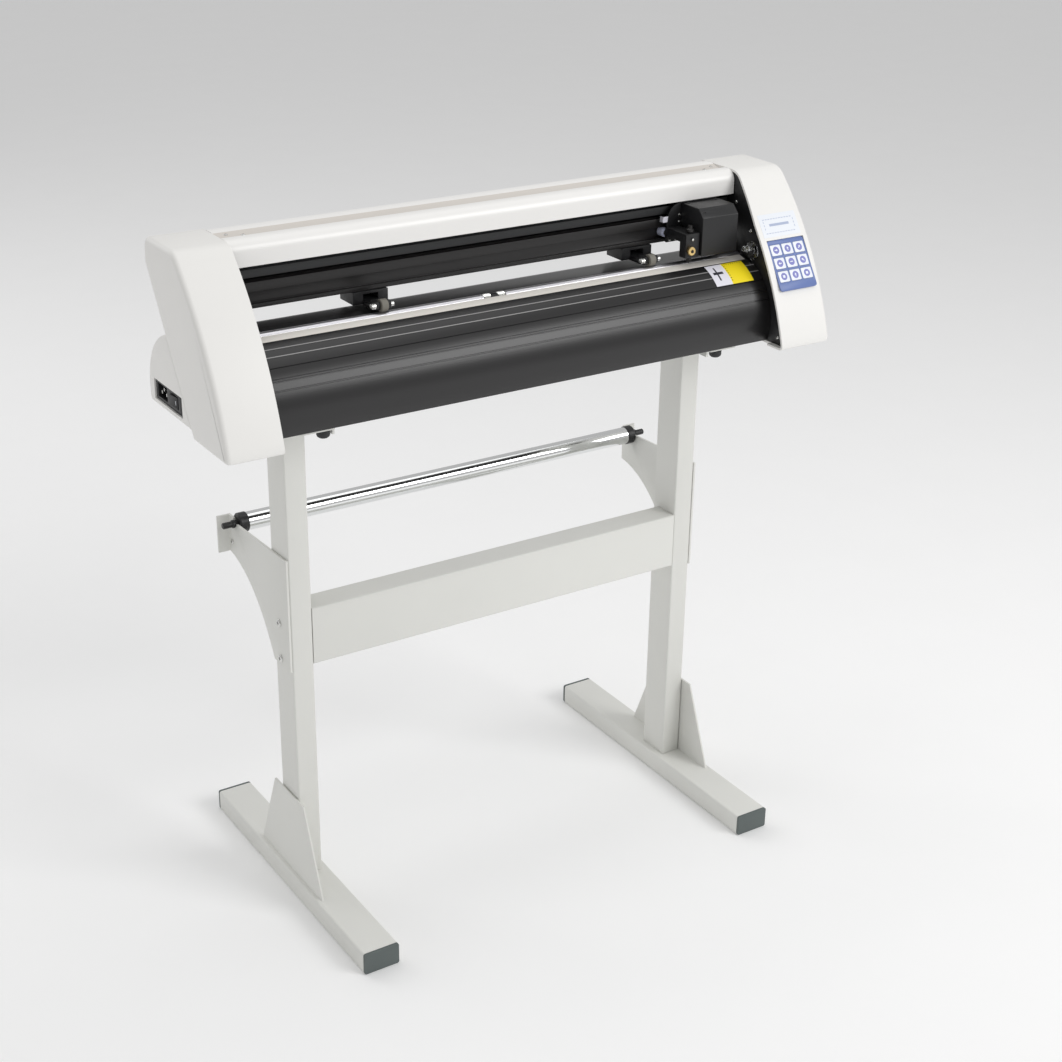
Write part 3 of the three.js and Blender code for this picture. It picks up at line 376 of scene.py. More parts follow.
def dress_node(node, material, bevel):
    """A carried-over CAD node: its finish, and edges as softly rounded as the real ones."""
    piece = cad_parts[node]
    piece.data.materials.clear()
    piece.data.materials.append(MATERIALS[material])
    piece.data.polygons.foreach_set("material_index", [0] * len(piece.data.polygons))
    piece.data.polygons.foreach_set("use_smooth", [True] * len(piece.data.polygons))
    piece.data.normals_split_custom_set([(0.0, 0.0, 0.0)] * len(piece.data.loops))
    weld = piece.modifiers.new("weld", "WELD")
    weld.merge_threshold = 1e-5
    flat = piece.modifiers.new("flat_faces", "DECIMATE")
    flat.decimate_type = "DISSOLVE"
    flat.angle_limit = math.radians(0.5)
    rounding = piece.modifiers.new("rounding", "BEVEL")
    rounding.width = bevel * MM
    rounding.segments = BEVEL_SEGMENTS
    rounding.limit_method = "ANGLE"
    rounding.angle_limit = math.radians(32)
    rounding.harden_normals = True
    return piece


CARRIED = {
    "left_foot": ("stand_paint", 0.8), "right_foot": ("stand_paint", 0.8),
    "left_front_foot_plug": ("plug_plastic", 1.0), "left_rear_foot_plug": ("plug_plastic", 1.0),
    "right_front_foot_plug": ("plug_plastic", 1.0), "right_rear_foot_plug": ("plug_plastic", 1.0),
    "left_upright": ("stand_paint", 0.8), "right_upright": ("stand_paint", 0.8),
    "crossbar": ("stand_paint", 0.8),
    "left_roll_bracket": ("stand_paint", 0.6), "right_roll_bracket": ("stand_paint", 0.6),
    "left_side_plate": ("black_steel", 0.4), "right_side_plate": ("black_steel", 0.4),
    "power_inlet": ("black_plastic", 0.6), "power_rocker": ("black_plastic", 0.8),
    "beam": ("black_anodised", 0.4), "rear_platen": ("platen_black", 0.4),
    "cutting_strip": ("cream_strip", 0.2),
    "feed_gear": ("bright_steel", 0.1), "feed_pinion": ("brass", 0.1), "feed_motor": ("black_steel", 0.8),
    "carriage_motor": ("black_steel", 0.8), "drive_pulley": ("bright_steel", 0.2),
    "idler_pulley": ("bright_steel", 0.2), "drive_belt": ("black_rubber", 0.1),
    "keypad_panel": ("key_blue", 0.2),
    "carriage_plate": ("black_steel", 0.4), "carriage_cover": ("black_plastic", 1.2),
    "tool_clamp": ("black_steel", 0.6), "blade_holder": ("black_anodised", 0.2),
    "left_pinch_bracket": ("black_steel", 0.5), "right_pinch_bracket": ("black_steel", 0.5),
    "left_pinch_arm": ("black_plastic", 0.7), "right_pinch_arm": ("black_plastic", 0.7),
}
for node_name, (finish, edge) in CARRIED.items():
    dress_node(node_name, finish, edge)
for index in range(1, 10):
    dress_node(f"key_{index}", "key_white", 0.35)


# ------------------------------------------------------------------ end covers and rear housings

FIT = 0.3                       # play between two pieces that sit in each other
COVER_WALL = 3.0
COVER_ROUND = 6.5
COVER_REAR_TOP = (59.0, 880.0)
COVER_REAR_BOTTOM = (-56.0, 694.5)
SLOPE_TOP = (-39.0, 899.0)
SLOPE_CONTROL = (-119.5, 814.5)
SLOPE_BOTTOM = (-151.0, 703.0)
KEYPAD_TILT = 57.0
KEYPAD_POCKET_HALF_HIGH = 35.55


def cover_outline():
    top = box_mm("left_end_cover")[1].z
    bottom = COVER_REAR_BOTTOM[1]
    points = [COVER_REAR_BOTTOM]
    points += bezier(COVER_REAR_TOP, (60.0, top - 1), (48.0, top), 10)
    points += bezier((-15.0, top), (-28.0, top), SLOPE_TOP, 8)
    points += bezier(SLOPE_TOP, SLOPE_CONTROL, SLOPE_BOTTOM, 30, include_start=False)
    points += bezier(SLOPE_BOTTOM, (-152.5, bottom), (-143.0, bottom), 8, include_start=False)
    return points


def wide_front_relief(inner):
    """What the wide front of the right cover leaves free for the top cover, the beam and the platen."""
    span_end = box_mm("top_cover")[1].x + FIT
    beyond = inner - 1
    taper = [(beyond, 850.0), (inner, 850.0), (span_end, 906.0), (span_end, 913.0), (beyond, 913.0)]
    return (
        loft([[(x, y, z) for x, z in taper] for y in (-100.0, 70.0)]),
        box_shape((beyond, -30.0, 693.0), (span_end, 70.0, 913.5)),
        box_shape((beyond, -120.0, 693.5), (span_end, 69.0, 760.0)))


def end_cover(name, side):
    low, high = box_mm(f"{name}_end_cover")
    inner, outer = (high.x, low.x) if side < 0 else (low.x, high.x)
    outline = cover_outline()
    rings = [(inner, 0.5), (inner + side * 0.5, 0.0)]
    for i in range(9):
        angle = math.pi / 2 * i / 8
        rings.append((
            outer - side * COVER_ROUND * (1 - math.sin(angle)), COVER_ROUND * (1 - math.cos(angle))))
    shell = [[(x, y, z) for y, z in offset(outline, inset)] for x, inset in rings]
    inside = [
        [(x, y, z) for y, z in offset(outline, inset)]
        for x, inset in (
            (outer - side * COVER_WALL, COVER_ROUND + 1.2),
            (outer - side * (COVER_WALL + 2), COVER_WALL + 1),
            (outer - side * (COVER_WALL + 4), COVER_WALL),
            (inner, COVER_WALL))]
    count = len(outline)
    vertices, faces = loft(list(reversed(shell)))
    faces = faces[:-1]
    inner_vertices, inner_faces = loft(inside, first=len(vertices))
    inner_faces = inner_faces[:-1]
    rim_outer = (len(shell) - 1) * count
    rim_inner = len(vertices) + (len(inside) - 1) * count
    rim = [
        (rim_outer + j, rim_outer + (j + 1) % count, rim_inner + (j + 1) % count, rim_inner + j)
        for j in range(count)]
    piece = mesh_object(f"{name}_end_cover_shell", vertices + inner_vertices, faces + inner_faces + rim)
    if side > 0:
        panel_low, panel_high = box_mm("keypad_panel")
        middle = (panel_low + panel_high) / 2
        tilt = Matrix.Rotation(math.radians(KEYPAD_TILT), 4, "X")
        half_wide = (panel_high.x - panel_low.x) / 2 + FIT
        corners, pocket_faces = box_shape(
            (-half_wide, -KEYPAD_POCKET_HALF_HIGH, -1.4), (half_wide, KEYPAD_POCKET_HALF_HIGH, 8.0))
        pocket = [tuple(tilt @ Vector(v) + middle) for v in corners]
        cut_out(piece, (pocket, pocket_faces))
        cut_out(piece, *wide_front_relief(inner))
    finish_piece(
        piece, "cover_plastic", "frame", replaces=[f"{name}_end_cover"], sharp=38)


HOUSING_ARC = (-4.0, 725.0)
HOUSING_RADIUS = 80.0
HOUSING_TIP = 801.0


def rear_edge(z):
    slope = (COVER_REAR_TOP[0] - COVER_REAR_BOTTOM[0]) / (COVER_REAR_TOP[1] - COVER_REAR_BOTTOM[1])
    return COVER_REAR_TOP[0] - slope * (COVER_REAR_TOP[1] - z)


def housing_outline():
    bottom = box_mm("left_rear_housing")[0].z
    back = HOUSING_ARC[0] + HOUSING_RADIUS
    start = math.degrees(math.asin((HOUSING_TIP - HOUSING_ARC[1]) / HOUSING_RADIUS))
    points = [(rear_edge(bottom) + 1, bottom)]
    points += bezier((back - 8, bottom), (back, bottom), (back, bottom + 8), 6)
    points += arc(HOUSING_ARC, HOUSING_RADIUS, 0, start, 28)
    points.append((rear_edge(HOUSING_TIP) + 1, HOUSING_TIP))
    return points


def rear_housing(name, side):
    low, high = box_mm(f"{name}_rear_housing")
    inner, outer = (high.x, low.x) if side < 0 else (low.x, high.x)
    outline = housing_outline()
    rings = []
    edge = 3.0
    for x, sign in ((inner, 1), (outer, -1)):
        turn = [(x + side * sign * edge * (1 - math.sin(math.pi / 2 * i / 5)),
                 edge * (1 - math.cos(math.pi / 2 * i / 5))) for i in range(6)]
        rings += list(reversed(turn)) if sign > 0 else turn
    shell = [[(x, y, z) for y, z in offset(outline, inset)] for x, inset in rings]
    piece = mesh_object(f"{name}_rear_housing_shell", *loft(shell))
    if side < 0:
        cavity_low, cavity_high = box_mm("power_inlet")
        window = box_shape(
            (low.x - 2, cavity_low.y - FIT, cavity_low.z - FIT),
            (cavity_high.x + 1, cavity_high.y + FIT, cavity_high.z + FIT))
        cut_out(piece, window)
    finish_piece(
        piece, "cover_plastic", "frame", replaces=[f"{name}_rear_housing"], sharp=38)


for side_name, side_sign in SIDES:
    end_cover(side_name, side_sign)
    rear_housing(side_name, side_sign)


# ------------------------------------------------------------------ top cover

def top_cover():
    low, high = box_mm("top_cover")
    front, back, top, skirt = low.y, high.y, high.z, low.z
    t = 2.0
    roll = 15
    roll_centre = (front + roll, top - roll)
    outer = [(front, skirt), *arc(roll_centre, roll, 180, 96, 16), (0.0, top - 0.4), (3.0, top - 2.4)]
    outer += [(15.0, top - 2.6), (25.0, top - 0.6), (27.0, top), (back - 4.5, top)]
    outer += arc((back - 2.0, top - 2.0), 2.0, 90, 0, 5)
    outer += [(back, skirt)]
    inner = [(back - t, skirt), (back - t, top - 4), (26.0, top - 3), (16.0, top - 5), (2.0, top - 5)]
    inner += arc(roll_centre, roll - t, 96, 180, 12)
    inner += [(front + t, skirt)]
    outline = outer + inner
    # the faces of the shallow valley on top get the darker beige material, which is painted shade
    valley = {i for i, (y, z) in enumerate(outer) if 0.0 <= y <= 26.0 and z > top - 2.9}
    vertices, faces = prism_x(outline, low.x, high.x)
    count = len(outline)
    slots = [
        1 if len(face) == 4 and face[0] % count in valley and face[1] % count in valley else 0
        for face in faces]
    piece = mesh_object("top_cover_sheet", vertices, faces, slots)
    finish_piece(
        piece, ["white_cover", "valley_painted_shade"], "frame", replaces=["top_cover"], sharp=24)


top_cover()


# ------------------------------------------------------------------ platen, strip and roller

PLATEN_CENTRE = (-39.5, 727.0)
PLATEN_RADIUS = 76.0


def platen_point(angle, lift=0.0):
    """A point on the platen's curved front, at an angle in degrees from straight up, forwards."""
    reach = PLATEN_RADIUS + lift
    return (
        PLATEN_CENTRE[0] - reach * math.sin(math.radians(angle)),
        PLATEN_CENTRE[1] + reach * math.cos(math.radians(angle)))


def platen_relief(angle):
    """Depth of the grooves along the curved front, in millimetres."""
    grooves = ((47.0, 0.60, 1.1), (57.0, 0.45, 0.7), (59.2, 0.45, 0.7), (67.6, 0.60, 1.2))
    height = 0.0
    for middle, half, depth in grooves:
        height -= depth if abs(angle - middle) <= half else 0.0
    return height


def front_platen():
    low, high = box_mm("front_platen")
    strip_low, strip_high = box_mm("cutting_strip")
    roller_low, roller_high = box_mm("feed_roller")
    channel_half = 7.3
    channel_front = (roller_low.y + roller_high.y) / 2 - channel_half
    channel_back = (roller_low.y + roller_high.y) / 2 + channel_half
    floor_z = roller_low.z - 3.5
    outline = [(channel_front, 802.3), (channel_front, floor_z), (channel_back, floor_z)]
    outline += [(channel_back, 800.1), (high.y, 795.5)]
    outline += [(high.y - 3 * (1 - math.cos(a)), low.z + 3 - 3 * math.sin(a)) for a in (0.0, 0.5, 1.0, 1.57)]
    outline += [(PLATEN_CENTRE[0] - 60, low.z)]
    angle = 112.0
    while angle > 17.5:
        outline.append(platen_point(angle, platen_relief(angle)))
        angle -= 0.3
    shelf = strip_low.z - 0.3
    outline += [(strip_low.y - 0.6, shelf + 1.3), (strip_low.y - 0.6, shelf)]
    outline += [(strip_high.y + 0.4, strip_high.z - 1.5)]
    piece = mesh_object("front_platen_extrusion", *prism_x(outline, low.x, high.x))
    finish_piece(piece, "platen_black", "frame", replaces=["front_platen"], sharp=30)


def feed_roller():
    low, high = box_mm("feed_roller")
    y, z = (low.y + high.y) / 2, (low.z + high.z) / 2
    radius = (high.z - low.z) / 2
    shaft = 4.0
    reach = 363.7
    band = 11.0
    neck = (-31.0, -21.0)
    smooth = []
    for start, end in ((-reach, neck[0] - band), (neck[1] + band, reach)):
        bar_profile = [(radius - 0.4, start), (radius, start + 0.4), (radius, end - 0.4), (radius - 0.4, end)]
        smooth.append(turned(bar_profile, (0, y, z), X_AXIS, 64))
    shaft_shape = turned([(shaft, low.x), (shaft, high.x)], (0, y, z), X_AXIS, 32)
    piece = mesh_object("feed_roller_bar", *merged(*smooth, shaft_shape))
    finish_piece(piece, "bright_steel", "feed_shaft", replaces=["feed_roller"])
    for i, (start, end) in enumerate(((neck[0] - band + 0.4, neck[0]), (neck[1], neck[1] + band - 0.4))):
        rings = []
        teeth = 40
        for x, depth in ((start, 0.7), (start + 0.6, 0.0), (end - 0.6, 0.0), (end, 0.7)):
            ring = []
            for k in range(teeth * 2):
                reach_k = radius - depth - (0.45 if k % 2 else 0.0)
                turn = 2 * math.pi * k / (teeth * 2)
                ring.append((x, y + reach_k * math.cos(turn), z + reach_k * math.sin(turn)))
            rings.append(ring)
        knurl = mesh_object(f"feed_roller_knurl_{i + 1}", *loft(rings))
        finish_piece(knurl, "screw_steel", "feed_shaft", sharp=20)
    bearing = mesh_object("roller_bearing", *turned(
        [(shaft + 0.2, 0.6), (radius - 0.9, 0.6), (radius - 0.5, 1.0), (radius - 0.5, 9.0),
         (radius - 0.9, 9.4), (shaft + 0.2, 9.4)], (neck[0], y, z), X_AXIS, 48, closed=True))
    finish_piece(bearing, "black_plastic", "frame")


front_platen()
feed_roller()


# ------------------------------------------------------------------ media tube

def media_tube():
    low, high = box_mm("media_tube")
    y, z, radius = (low.y + high.y) / 2, (low.z + high.z) / 2, (high.z - low.z) / 2
    wall = 1.2
    tube = turned(
        [(radius - 0.3, low.x), (radius, low.x + 0.3), (radius, high.x - 0.3), (radius - 0.3, high.x),
         (radius - wall, high.x), (radius - wall, low.x)], (0, y, z), X_AXIS, 96, closed=True)
    piece = mesh_object("media_tube_chrome", *tube)
    finish_piece(piece, "chrome_tube", "media_roll", replaces=["media_tube"])
    for name, side in SIDES:
        end_low, end_high = box_mm(f"{name}_tube_end")
        inner, outer = (end_high.x, end_low.x) if side < 0 else (end_low.x, end_high.x)
        collar, stub, button = 13.4, 4.2, 5.6
        face = side * 317.1
        plug = radius - wall - 0.4
        depth = abs(face - inner)
        length = abs(outer - inner)
        profile = [
            (plug, 0.0), (plug, depth - 13.2), (collar - 1.2, depth - 13.2),
            (collar, depth - 12.0), (collar, depth - 1.6), (collar - 1.6, depth),
            (stub + 1.6, depth), (stub, depth + 0.4), (stub, depth + 4.6),
            (button, depth + 4.8), (button, depth + 7.2), (button - 0.5, depth + 7.6),
            (stub, depth + 7.6), (stub, length - 0.8), (stub - 0.8, length)]
        piece = mesh_object(
            f"{name}_tube_end_plug", *turned(profile, (inner, y, z), X_AXIS * side, 48))
        finish_piece(piece, "black_plastic", "media_roll", replaces=[f"{name}_tube_end"])


media_tube()


# ------------------------------------------------------------------ pinch rollers, guide wheels, clamp nut

def pinch_roller(name):
    low, high = box_mm(f"{name}_pinch_roller")
    middle = Vector(((low.x + high.x) / 2 + 1.0, (low.y + high.y) / 2, (low.z + high.z) / 2))
    tyre_profile = [(2.3, -4.6), (7.2, -4.6), (7.8, -4.0), (7.8, 4.0), (7.2, 4.6), (2.3, 4.6)]
    rubber = mesh_object(
        f"{name}_pinch_roller_tyre", *turned(tyre_profile, middle, X_AXIS, 56, closed=True))
    finish_piece(
        rubber, "grey_rubber", f"{name}_pinch_roller", replaces=[f"{name}_pinch_roller"])
    axle = mesh_object(f"{name}_pinch_axle", *turned(
        [(1.6, -17.0), (2.1, -16.5), (3.2, -16.3), (3.7, -15.6), (3.7, -14.6), (3.1, -14.4),
         (3.1, -13.4), (3.7, -13.2), (3.7, -10.4), (2.1, -10.4), (2.1, 10.4), (3.2, 10.4),
         (3.2, 14.0), (2.7, 14.5), (1.5, 14.5), (1.1, 15.0)],
        middle, X_AXIS, 40))
    finish_piece(axle, "screw_steel", f"{name}_pinch_roller")


def guide_wheel(name):
    low, high = box_mm(name)
    middle = ((low.x + high.x) / 2, low.y, (low.z + high.z) / 2)
    width = high.y - low.y
    wheel = mesh_object(f"{name}_tyre", *turned(
        [(2.3, 0.0), (4.6, 0.0), (4.8, 0.5), (5.6, 0.5), (6.1, 0.0), (6.5, 0.6),
         (6.5, width - 0.6), (6.0, width), (2.3, width)],
        middle, Y_AXIS, 56, closed=True))
    finish_piece(wheel, "wheel_nylon", name, replaces=[name])


def clamp_nut():
    low, high = box_mm("clamp_nut")
    middle = ((low.x + high.x) / 2, 0.0, (low.z + high.z) / 2)
    flutes = 30
    rings = []
    for y, radius, depth in (
            (low.y, 2.3, 0.0), (low.y + 0.2, 4.4, 0.0), (low.y + 0.2, 5.2, 0.0), (low.y + 0.8, 6.0, 0.3),
            (high.y - 1.9, 6.0, 0.3), (high.y - 1.3, 5.3, 0.0), (high.y, 5.3, 0.0), (high.y, 2.0, 0.0)):
        ring = []
        for k in range(flutes * 2):
            turn = 2 * math.pi * k / (flutes * 2)
            reach = radius - (depth if k % 2 else 0.0)
            ring.append((middle[0] + reach * math.cos(turn), y, middle[2] + reach * math.sin(turn)))
        rings.append(ring)
    nut = mesh_object("clamp_nut_knurled", *loft(rings, closed=True))
    finish_piece(nut, "brass", "clamp_nut", replaces=["clamp_nut"], sharp=24)


for side_name, _ in SIDES:
    pinch_roller(side_name)
for wheel_name in ("lower_left_guide_wheel", "lower_right_guide_wheel", "upper_guide_wheel"):
    guide_wheel(wheel_name)
clamp_nut()


# ------------------------------------------------------------------ hand wheel

def hand_wheel():
    low, high = box_mm("hand_wheel")
    middle = Vector((0, (low.y + high.y) / 2, (low.z + high.z) / 2))
    disc_x = 362.5
    rings = []
    scallops = 60
    for x, radius, depth in ((disc_x, 11.3, 0.0), (disc_x + 0.5, 12.3, 0.25), (disc_x + 2.0, 12.5, 0.25),
                             (disc_x + 2.5, 11.8, 0.0)):
        ring = []
        for k in range(scallops * 2):
            turn = 2 * math.pi * k / (scallops * 2)
            reach = radius - (depth if k % 2 else 0.0)
            ring.append((x, middle.y + reach * math.cos(turn), middle.z + reach * math.sin(turn)))
        rings.append(ring)
    disc = loft(rings)
    peg_centre = middle + Vector((0, 4.0, 3.0))
    flutes = 8
    peg_rings = []
    for x, radius in ((low.x, 2.6), (low.x + 0.6, 3.4), (disc_x - 3, 4.6), (disc_x + 0.3, 5.2)):
        ring = []
        for k in range(flutes * 6):
            turn = 2 * math.pi * k / (flutes * 6)
            reach = radius * (1.0 - 0.08 * (1 - math.cos(flutes * turn)))
            ring.append((x, peg_centre.y + reach * math.cos(turn), peg_centre.z + reach * math.sin(turn)))
        peg_rings.append(ring)
    hub = turned([(4.0, 364.6), (4.0, high.x)], middle, X_AXIS, 32)
    piece = mesh_object("hand_wheel_clear", *merged(disc, loft(peg_rings), hub))
    finish_piece(piece, "clear_plastic", "hand_wheel", replaces=["hand_wheel"], sharp=40)


hand_wheel()


# ------------------------------------------------------------------ screws and small fittings

def screw(name, location, normal, radius, body, material="screw_steel", height=None):
    """A pan-head screw with a cross recess, standing on a surface."""
    height = height or radius * 0.55
    profile = [(radius * 0.96, 0.0), (radius, height * 0.25)]
    for i in range(1, 6):
        turn = math.pi / 2 * i / 6
        profile.append((radius * (0.35 + 0.65 * math.cos(turn)), height * (0.25 + 0.75 * math.sin(turn))))
    profile.append((radius * 0.3, height))
    piece = mesh_object(name, *turned(profile, location, normal, 32))
    axis = Vector(normal).normalized()
    side = (Y_AXIS if abs(axis.y) < 0.9 else Z_AXIS).cross(axis).normalized()
    other = axis.cross(side)
    bars = []
    for along, across in ((side, other), (other, side)):
        centre = Vector(location) + axis * height
        corner_signs = [(-1, -1), (1, -1), (1, 1), (-1, 1)]
        rings = [[
            tuple(centre + axis * depth + along * radius * 0.5 * a + across * radius * 0.11 * b)
            for a, b in corner_signs] for depth in (-height * 0.55, 1.0)]
        bars.append(loft(rings))
    cut_out(piece, *bars)
    finish_piece(piece, material, body)
    return piece


def stand_fittings():
    for name, side in SIDES:
        face = side * 320.4
        for i, (y, z) in enumerate(((-2.0, 403.0), (-2.5, 352.0))):
            screw(f"{name}_bracket_bolt_{i + 1}", (face, y, z), X_AXIS * side, 5.4, "frame", height=2.6)
        screw(f"{name}_bracket_hole_bolt", (face, 134.0, 464.0), X_AXIS * side, 3.4, "frame", height=2.0)
        plate_low, plate_high = box_mm(f"{name}_upright")
        knob_x = (plate_low.x + 17.5) if side > 0 else (plate_high.x - 13.5)
        knob = mesh_object(f"{name}_hand_screw", *turned(
            [(3.0, 14.0), (3.0, 11.0), (7.8, 11.0), (8.4, 10.2),
             (8.4, 4.5), (7.6, 2.4), (5.6, 0.8), (3.0, 0.0)],
            (knob_x, plate_low.y + 9.0, 680.3), Z_AXIS, 48))
        finish_piece(knob, "black_rubber", "frame")


stand_fittings()


# ------------------------------------------------------------------ keypad and labels

def slope_point(t):
    """A point on an end cover's sloping front and its outward normal; t runs from the top down."""
    a, c, b = (Vector(p) for p in (SLOPE_TOP, SLOPE_CONTROL, SLOPE_BOTTOM))
    point = (1 - t) ** 2 * a + 2 * t * (1 - t) * c + t * t * b
    tangent = (2 * (1 - t) * (c - a) + 2 * t * (b - c)).normalized()
    normal = Vector((tangent.y, -tangent.x))
    return point, normal


def slope_t(z):
    low, high = 0.0, 1.0
    for _ in range(40):
        middle = (low + high) / 2
        if slope_point(middle)[0].y > z:
            low = middle
        else:
            high = middle
    return (low + high) / 2


def slope_patch(name, x0, x1, z_top, z_bottom, lift, material, thick=0.12):
    """A thin label that follows the cover's curved front."""
    rings = []
    t0, t1 = slope_t(z_top), slope_t(z_bottom)
    steps = max(2, int(abs(z_top - z_bottom) / 2))
    for i in range(steps + 1):
        point, normal = slope_point(t0 + (t1 - t0) * i / steps)
        inner, outer = point + normal * (lift - thick), point + normal * lift
        rings.append([(x0, *inner), (x1, *inner), (x1, *outer), (x0, *outer)])
    piece = mesh_object(name, *loft(rings))
    return finish_piece(piece, material, "frame")


def name_label():
    x0, x1, z_top, z_bottom = 366.5, 429.5, 860.5, 834.0
    slope_patch("name_label", x0, x1, z_top, z_bottom, 0.2, "label_white", 0.25)
    margin, line = 6.0, 0.7
    dash, gap = 3.0, 1.6
    z_high, z_low = z_top - 5.5, z_bottom + 5.0
    dashes = []
    x = x0 + margin
    while x + dash <= x1 - margin + 0.1:
        for z in (z_high, z_low):
            dashes.append((x, z))
        x += dash + gap
    for i, (x, z) in enumerate(dashes):
        slope_patch(f"name_label_dash_{i + 1}", x, x + dash, z, z - line, 0.3, "label_line", 0.12)
    z = z_high - 2.0
    i = 0
    while z - 2.4 >= z_low:
        for x in (x0 + margin, x1 - margin - line):
            i += 1
            slope_patch(f"name_label_side_{i}", x, x + line, z, z - 2.4, 0.3, "label_line", 0.12)
        z -= 4.0
    slope_patch("name_label_bar", x0 + 15, x1 - 15, 849.2, 846.4, 0.3, "label_line", 0.12)


def key_icon(index):
    low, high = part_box(f"key_{index}")
    middle = (low + high) / 2 / MM
    tilt = Matrix.Rotation(math.radians(KEYPAD_TILT), 3, "X")
    disc, faces = turned([(4.9, 1.0), (5.0, 1.12), (0.4, 1.14)], (0, 0, 0), Z_AXIS, 40)
    shapes = [(disc, faces)]
    slots = [0] * len(faces)
    size = 2.6
    spins = {1: 0, 2: 90, 3: 45, 4: 180, 5: 0, 6: 135, 7: 270, 8: 90, 9: 0}
    spin = math.radians(spins[index])
    if index == 5:
        mark = [(-2.4, -0.6), (2.4, -0.6), (2.4, 0.6), (-2.4, 0.6)]
    elif index in (7, 9):
        mark = [(-1.8, -1.8), (1.8, -1.8), (1.8, 1.8), (-1.8, 1.8)]
    else:
        mark = [
            (-size, -0.6), (0.2, -0.6), (0.2, -1.9), (size, 0.0), (0.2, 1.9), (0.2, 0.6), (-size, 0.6)]
    turned_mark = [
        (x * math.cos(spin) - y * math.sin(spin), x * math.sin(spin) + y * math.cos(spin))
        for x, y in mark]
    symbol, symbol_faces = loft([[(x, y, z) for x, y in turned_mark] for z in (1.05, 1.22)])
    shapes.append((symbol, symbol_faces))
    slots += [1] * len(symbol_faces)
    vertices, all_faces = merged(*shapes)
    placed = [tuple(tilt @ Vector(v) + middle) for v in vertices]
    icon = mesh_object(f"key_icon_{index}", placed, all_faces, slots)
    finish_piece(icon, ["icon_violet", "key_white"], f"key_{index}")


def platen_patch(name, x0, x1, angle0, angle1, lift, material, thick=0.15):
    """A thin sticker that follows the platen's curved top."""
    rings = []
    steps = 16
    for i in range(steps + 1):
        share = i / steps
        angle = angle0 + (angle1 - angle0) * share
        inner, outer = platen_point(angle, lift - thick), platen_point(angle, lift)
        rings.append([(x0, *inner), (x1, *inner), (x1, *outer), (x0, *outer)])
    piece = mesh_object(name, *loft(rings))
    return finish_piece(piece, material, "frame")


def platen_ribs():
    """The two thin ribs on the upper part of the platen, coloured grey as a painted highlight on the black
    extrusion.
    """
    low, high = box_mm("front_platen")
    for i, middle in enumerate((27.0, 35.8)):
        platen_patch(
            f"platen_rib_{i + 1}", low.x + 0.2, high.x - 0.2, middle - 0.42, middle + 0.42, 0.5,
            "rib_grey", thick=0.6)


def platen_sticker():
    platen_patch("sticker_white_half", 288.0, 315.0, 19.0, 46.0, 0.75, "sticker_white")
    platen_patch("sticker_yellow_half", 315.0, 350.0, 19.0, 46.0, 0.75, "sticker_yellow")
    for i in range(8):
        start = 20.0 + i * 3.0
        platen_patch(f"sticker_tick_{i + 1}", 316.5, 317.7, start, start + 1.2, 0.85, "sticker_black")
        edge = i * 3.7
        platen_patch(
            f"sticker_edge_tick_{i + 1}", 319.5 + edge, 320.3 + edge, 20.0, 21.2, 0.85, "sticker_black")
    platen_patch("sticker_mark_bar", 298.0, 300.4, 23.0, 40.0, 0.85, "sticker_black")
    platen_patch("sticker_mark_cross", 293.0, 309.0, 29.5, 32.5, 0.85, "sticker_black")


name_label()
for index in range(1, 10):
    key_icon(index)
platen_ribs()
platen_sticker()


# ------------------------------------------------------------------ carriage details

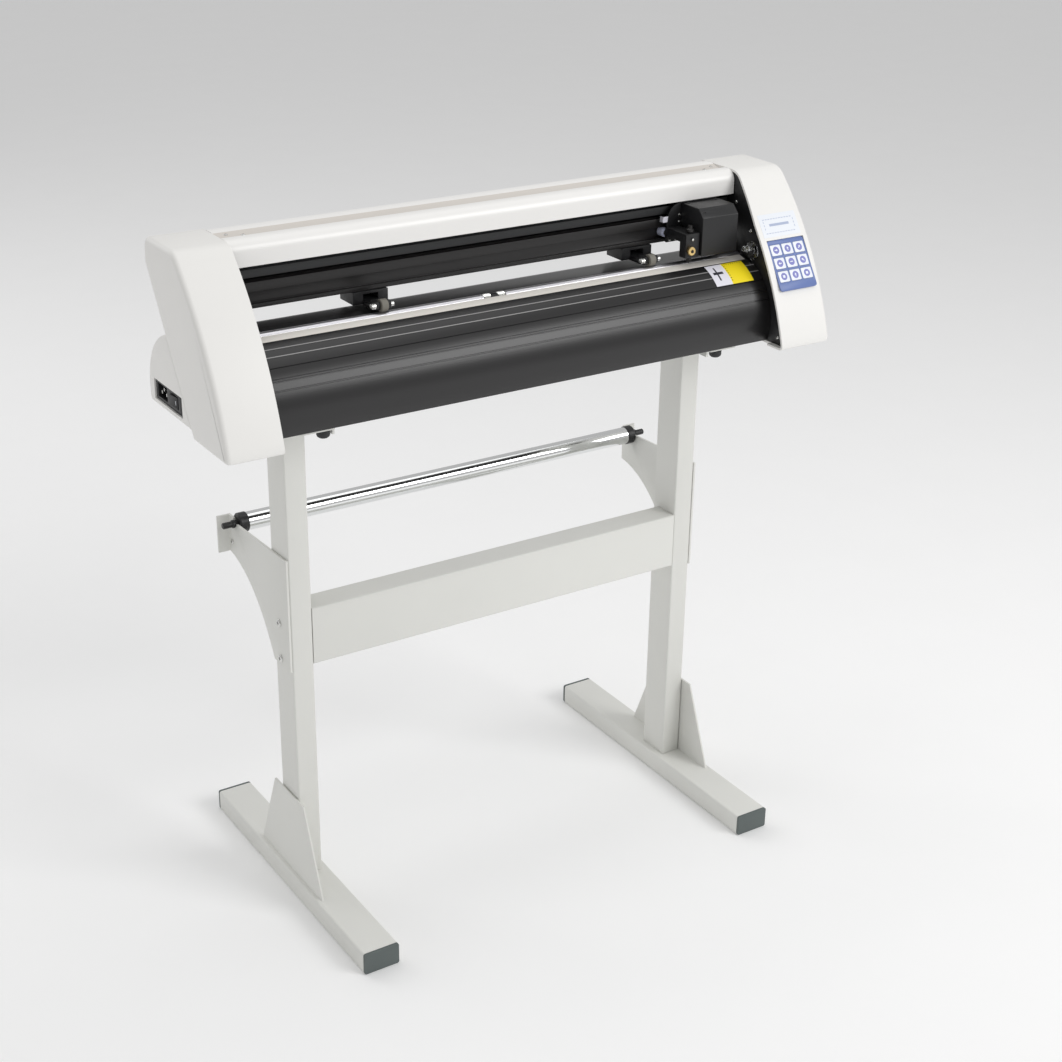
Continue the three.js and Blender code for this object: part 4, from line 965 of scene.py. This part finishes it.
def carriage_fittings():
    plate_front = box_mm("carriage_plate")[0].y
    for i, (x, z) in enumerate(((279.0, 861.5), (279.0, 852.0), (264.4, 828.4), (273.9, 828.4))):
        screw(f"carriage_screw_{i + 1}", (x, plate_front, z), -Y_AXIS, 1.9, "carriage")
    tab_low, tab_high = (252.0, plate_front, 853.5), (260.4, plate_front + 1.2, 861.0)
    lip = box_shape((252.0, plate_front, 853.5), (253.2, plate_front + 7.0, 861.0))
    tab = mesh_object("carriage_tab", *merged(box_shape(tab_low, tab_high), lip))
    finish_piece(tab, "sticker_white", "carriage", bevel=0.2)
    cover_low, cover_high = box_mm("carriage_cover")
    screw("clamp_screw", (267.0, box_mm("tool_clamp")[0].y + 5.5, 839.5), -Y_AXIS, 1.8, "tool_clamp")
    for i, x in enumerate((cover_low.x + 6, cover_high.x - 6)):
        place = (x, -26.0, cover_high.z)
        screw(f"cover_screw_{i + 1}", place, Z_AXIS, 2.0, "carriage", material="black_steel")


def side_plate_fittings():
    for name, side in SIDES:
        face = side * (366.5 if side > 0 else 370.5)
        for i, (y, z) in enumerate(((-132.0, 708.0), (-20.0, 708.0), (-62.0, 838.0), (-28.0, 870.0))):
            screw(f"{name}_side_screw_{i + 1}", (face, y, z), X_AXIS * -side, 2.6, "frame", height=1.6)


def cover_fittings():
    high = box_mm("top_cover")[1]
    for name, side in SIDES:
        x = side * (high.x - 14)
        screw_front = (x - side * 14, 9.0, high.z - 2.6)
        screw(f"{name}_cover_screw_front", screw_front, Z_AXIS, 2.6, "frame", height=1.2)
        screw_back = (x + side * 4, 18.0, high.z - 2.4)
        screw(f"{name}_cover_screw_back", screw_back, Z_AXIS, 2.6, "frame", height=1.2)


def power_fittings():
    low, high = box_mm("power_inlet")
    face = low.x
    socket_y = (high.y - 34 + high.y - 6) / 2
    socket_z = (low.z + high.z) / 2
    pins = []
    for dy, dz in ((-7.0, -2.0), (7.0, -2.0), (0.0, 3.0)):
        y, z = socket_y + dy, socket_z + dz
        pins.append(box_shape((face + 2, y - 1.0, z - 2.0), (face + 15.2, y + 1.0, z + 2.0)))
    finish_piece(
        mesh_object("inlet_pins", *merged(*pins)), "screw_steel", "frame", bevel=0.3)
    rocker_low = box_mm("power_rocker")[0]
    mark = box_shape(
        (rocker_low.x + 1.9, rocker_low.y + 3.5, socket_z - 2.5),
        (rocker_low.x + 2.35, rocker_low.y + 4.5, socket_z + 2.5))
    finish_piece(mesh_object("rocker_mark", *mark), "label_white", "power_rocker")


carriage_fittings()
side_plate_fittings()
cover_fittings()
power_fittings()

make_camera()
make_studio()
make_floor()
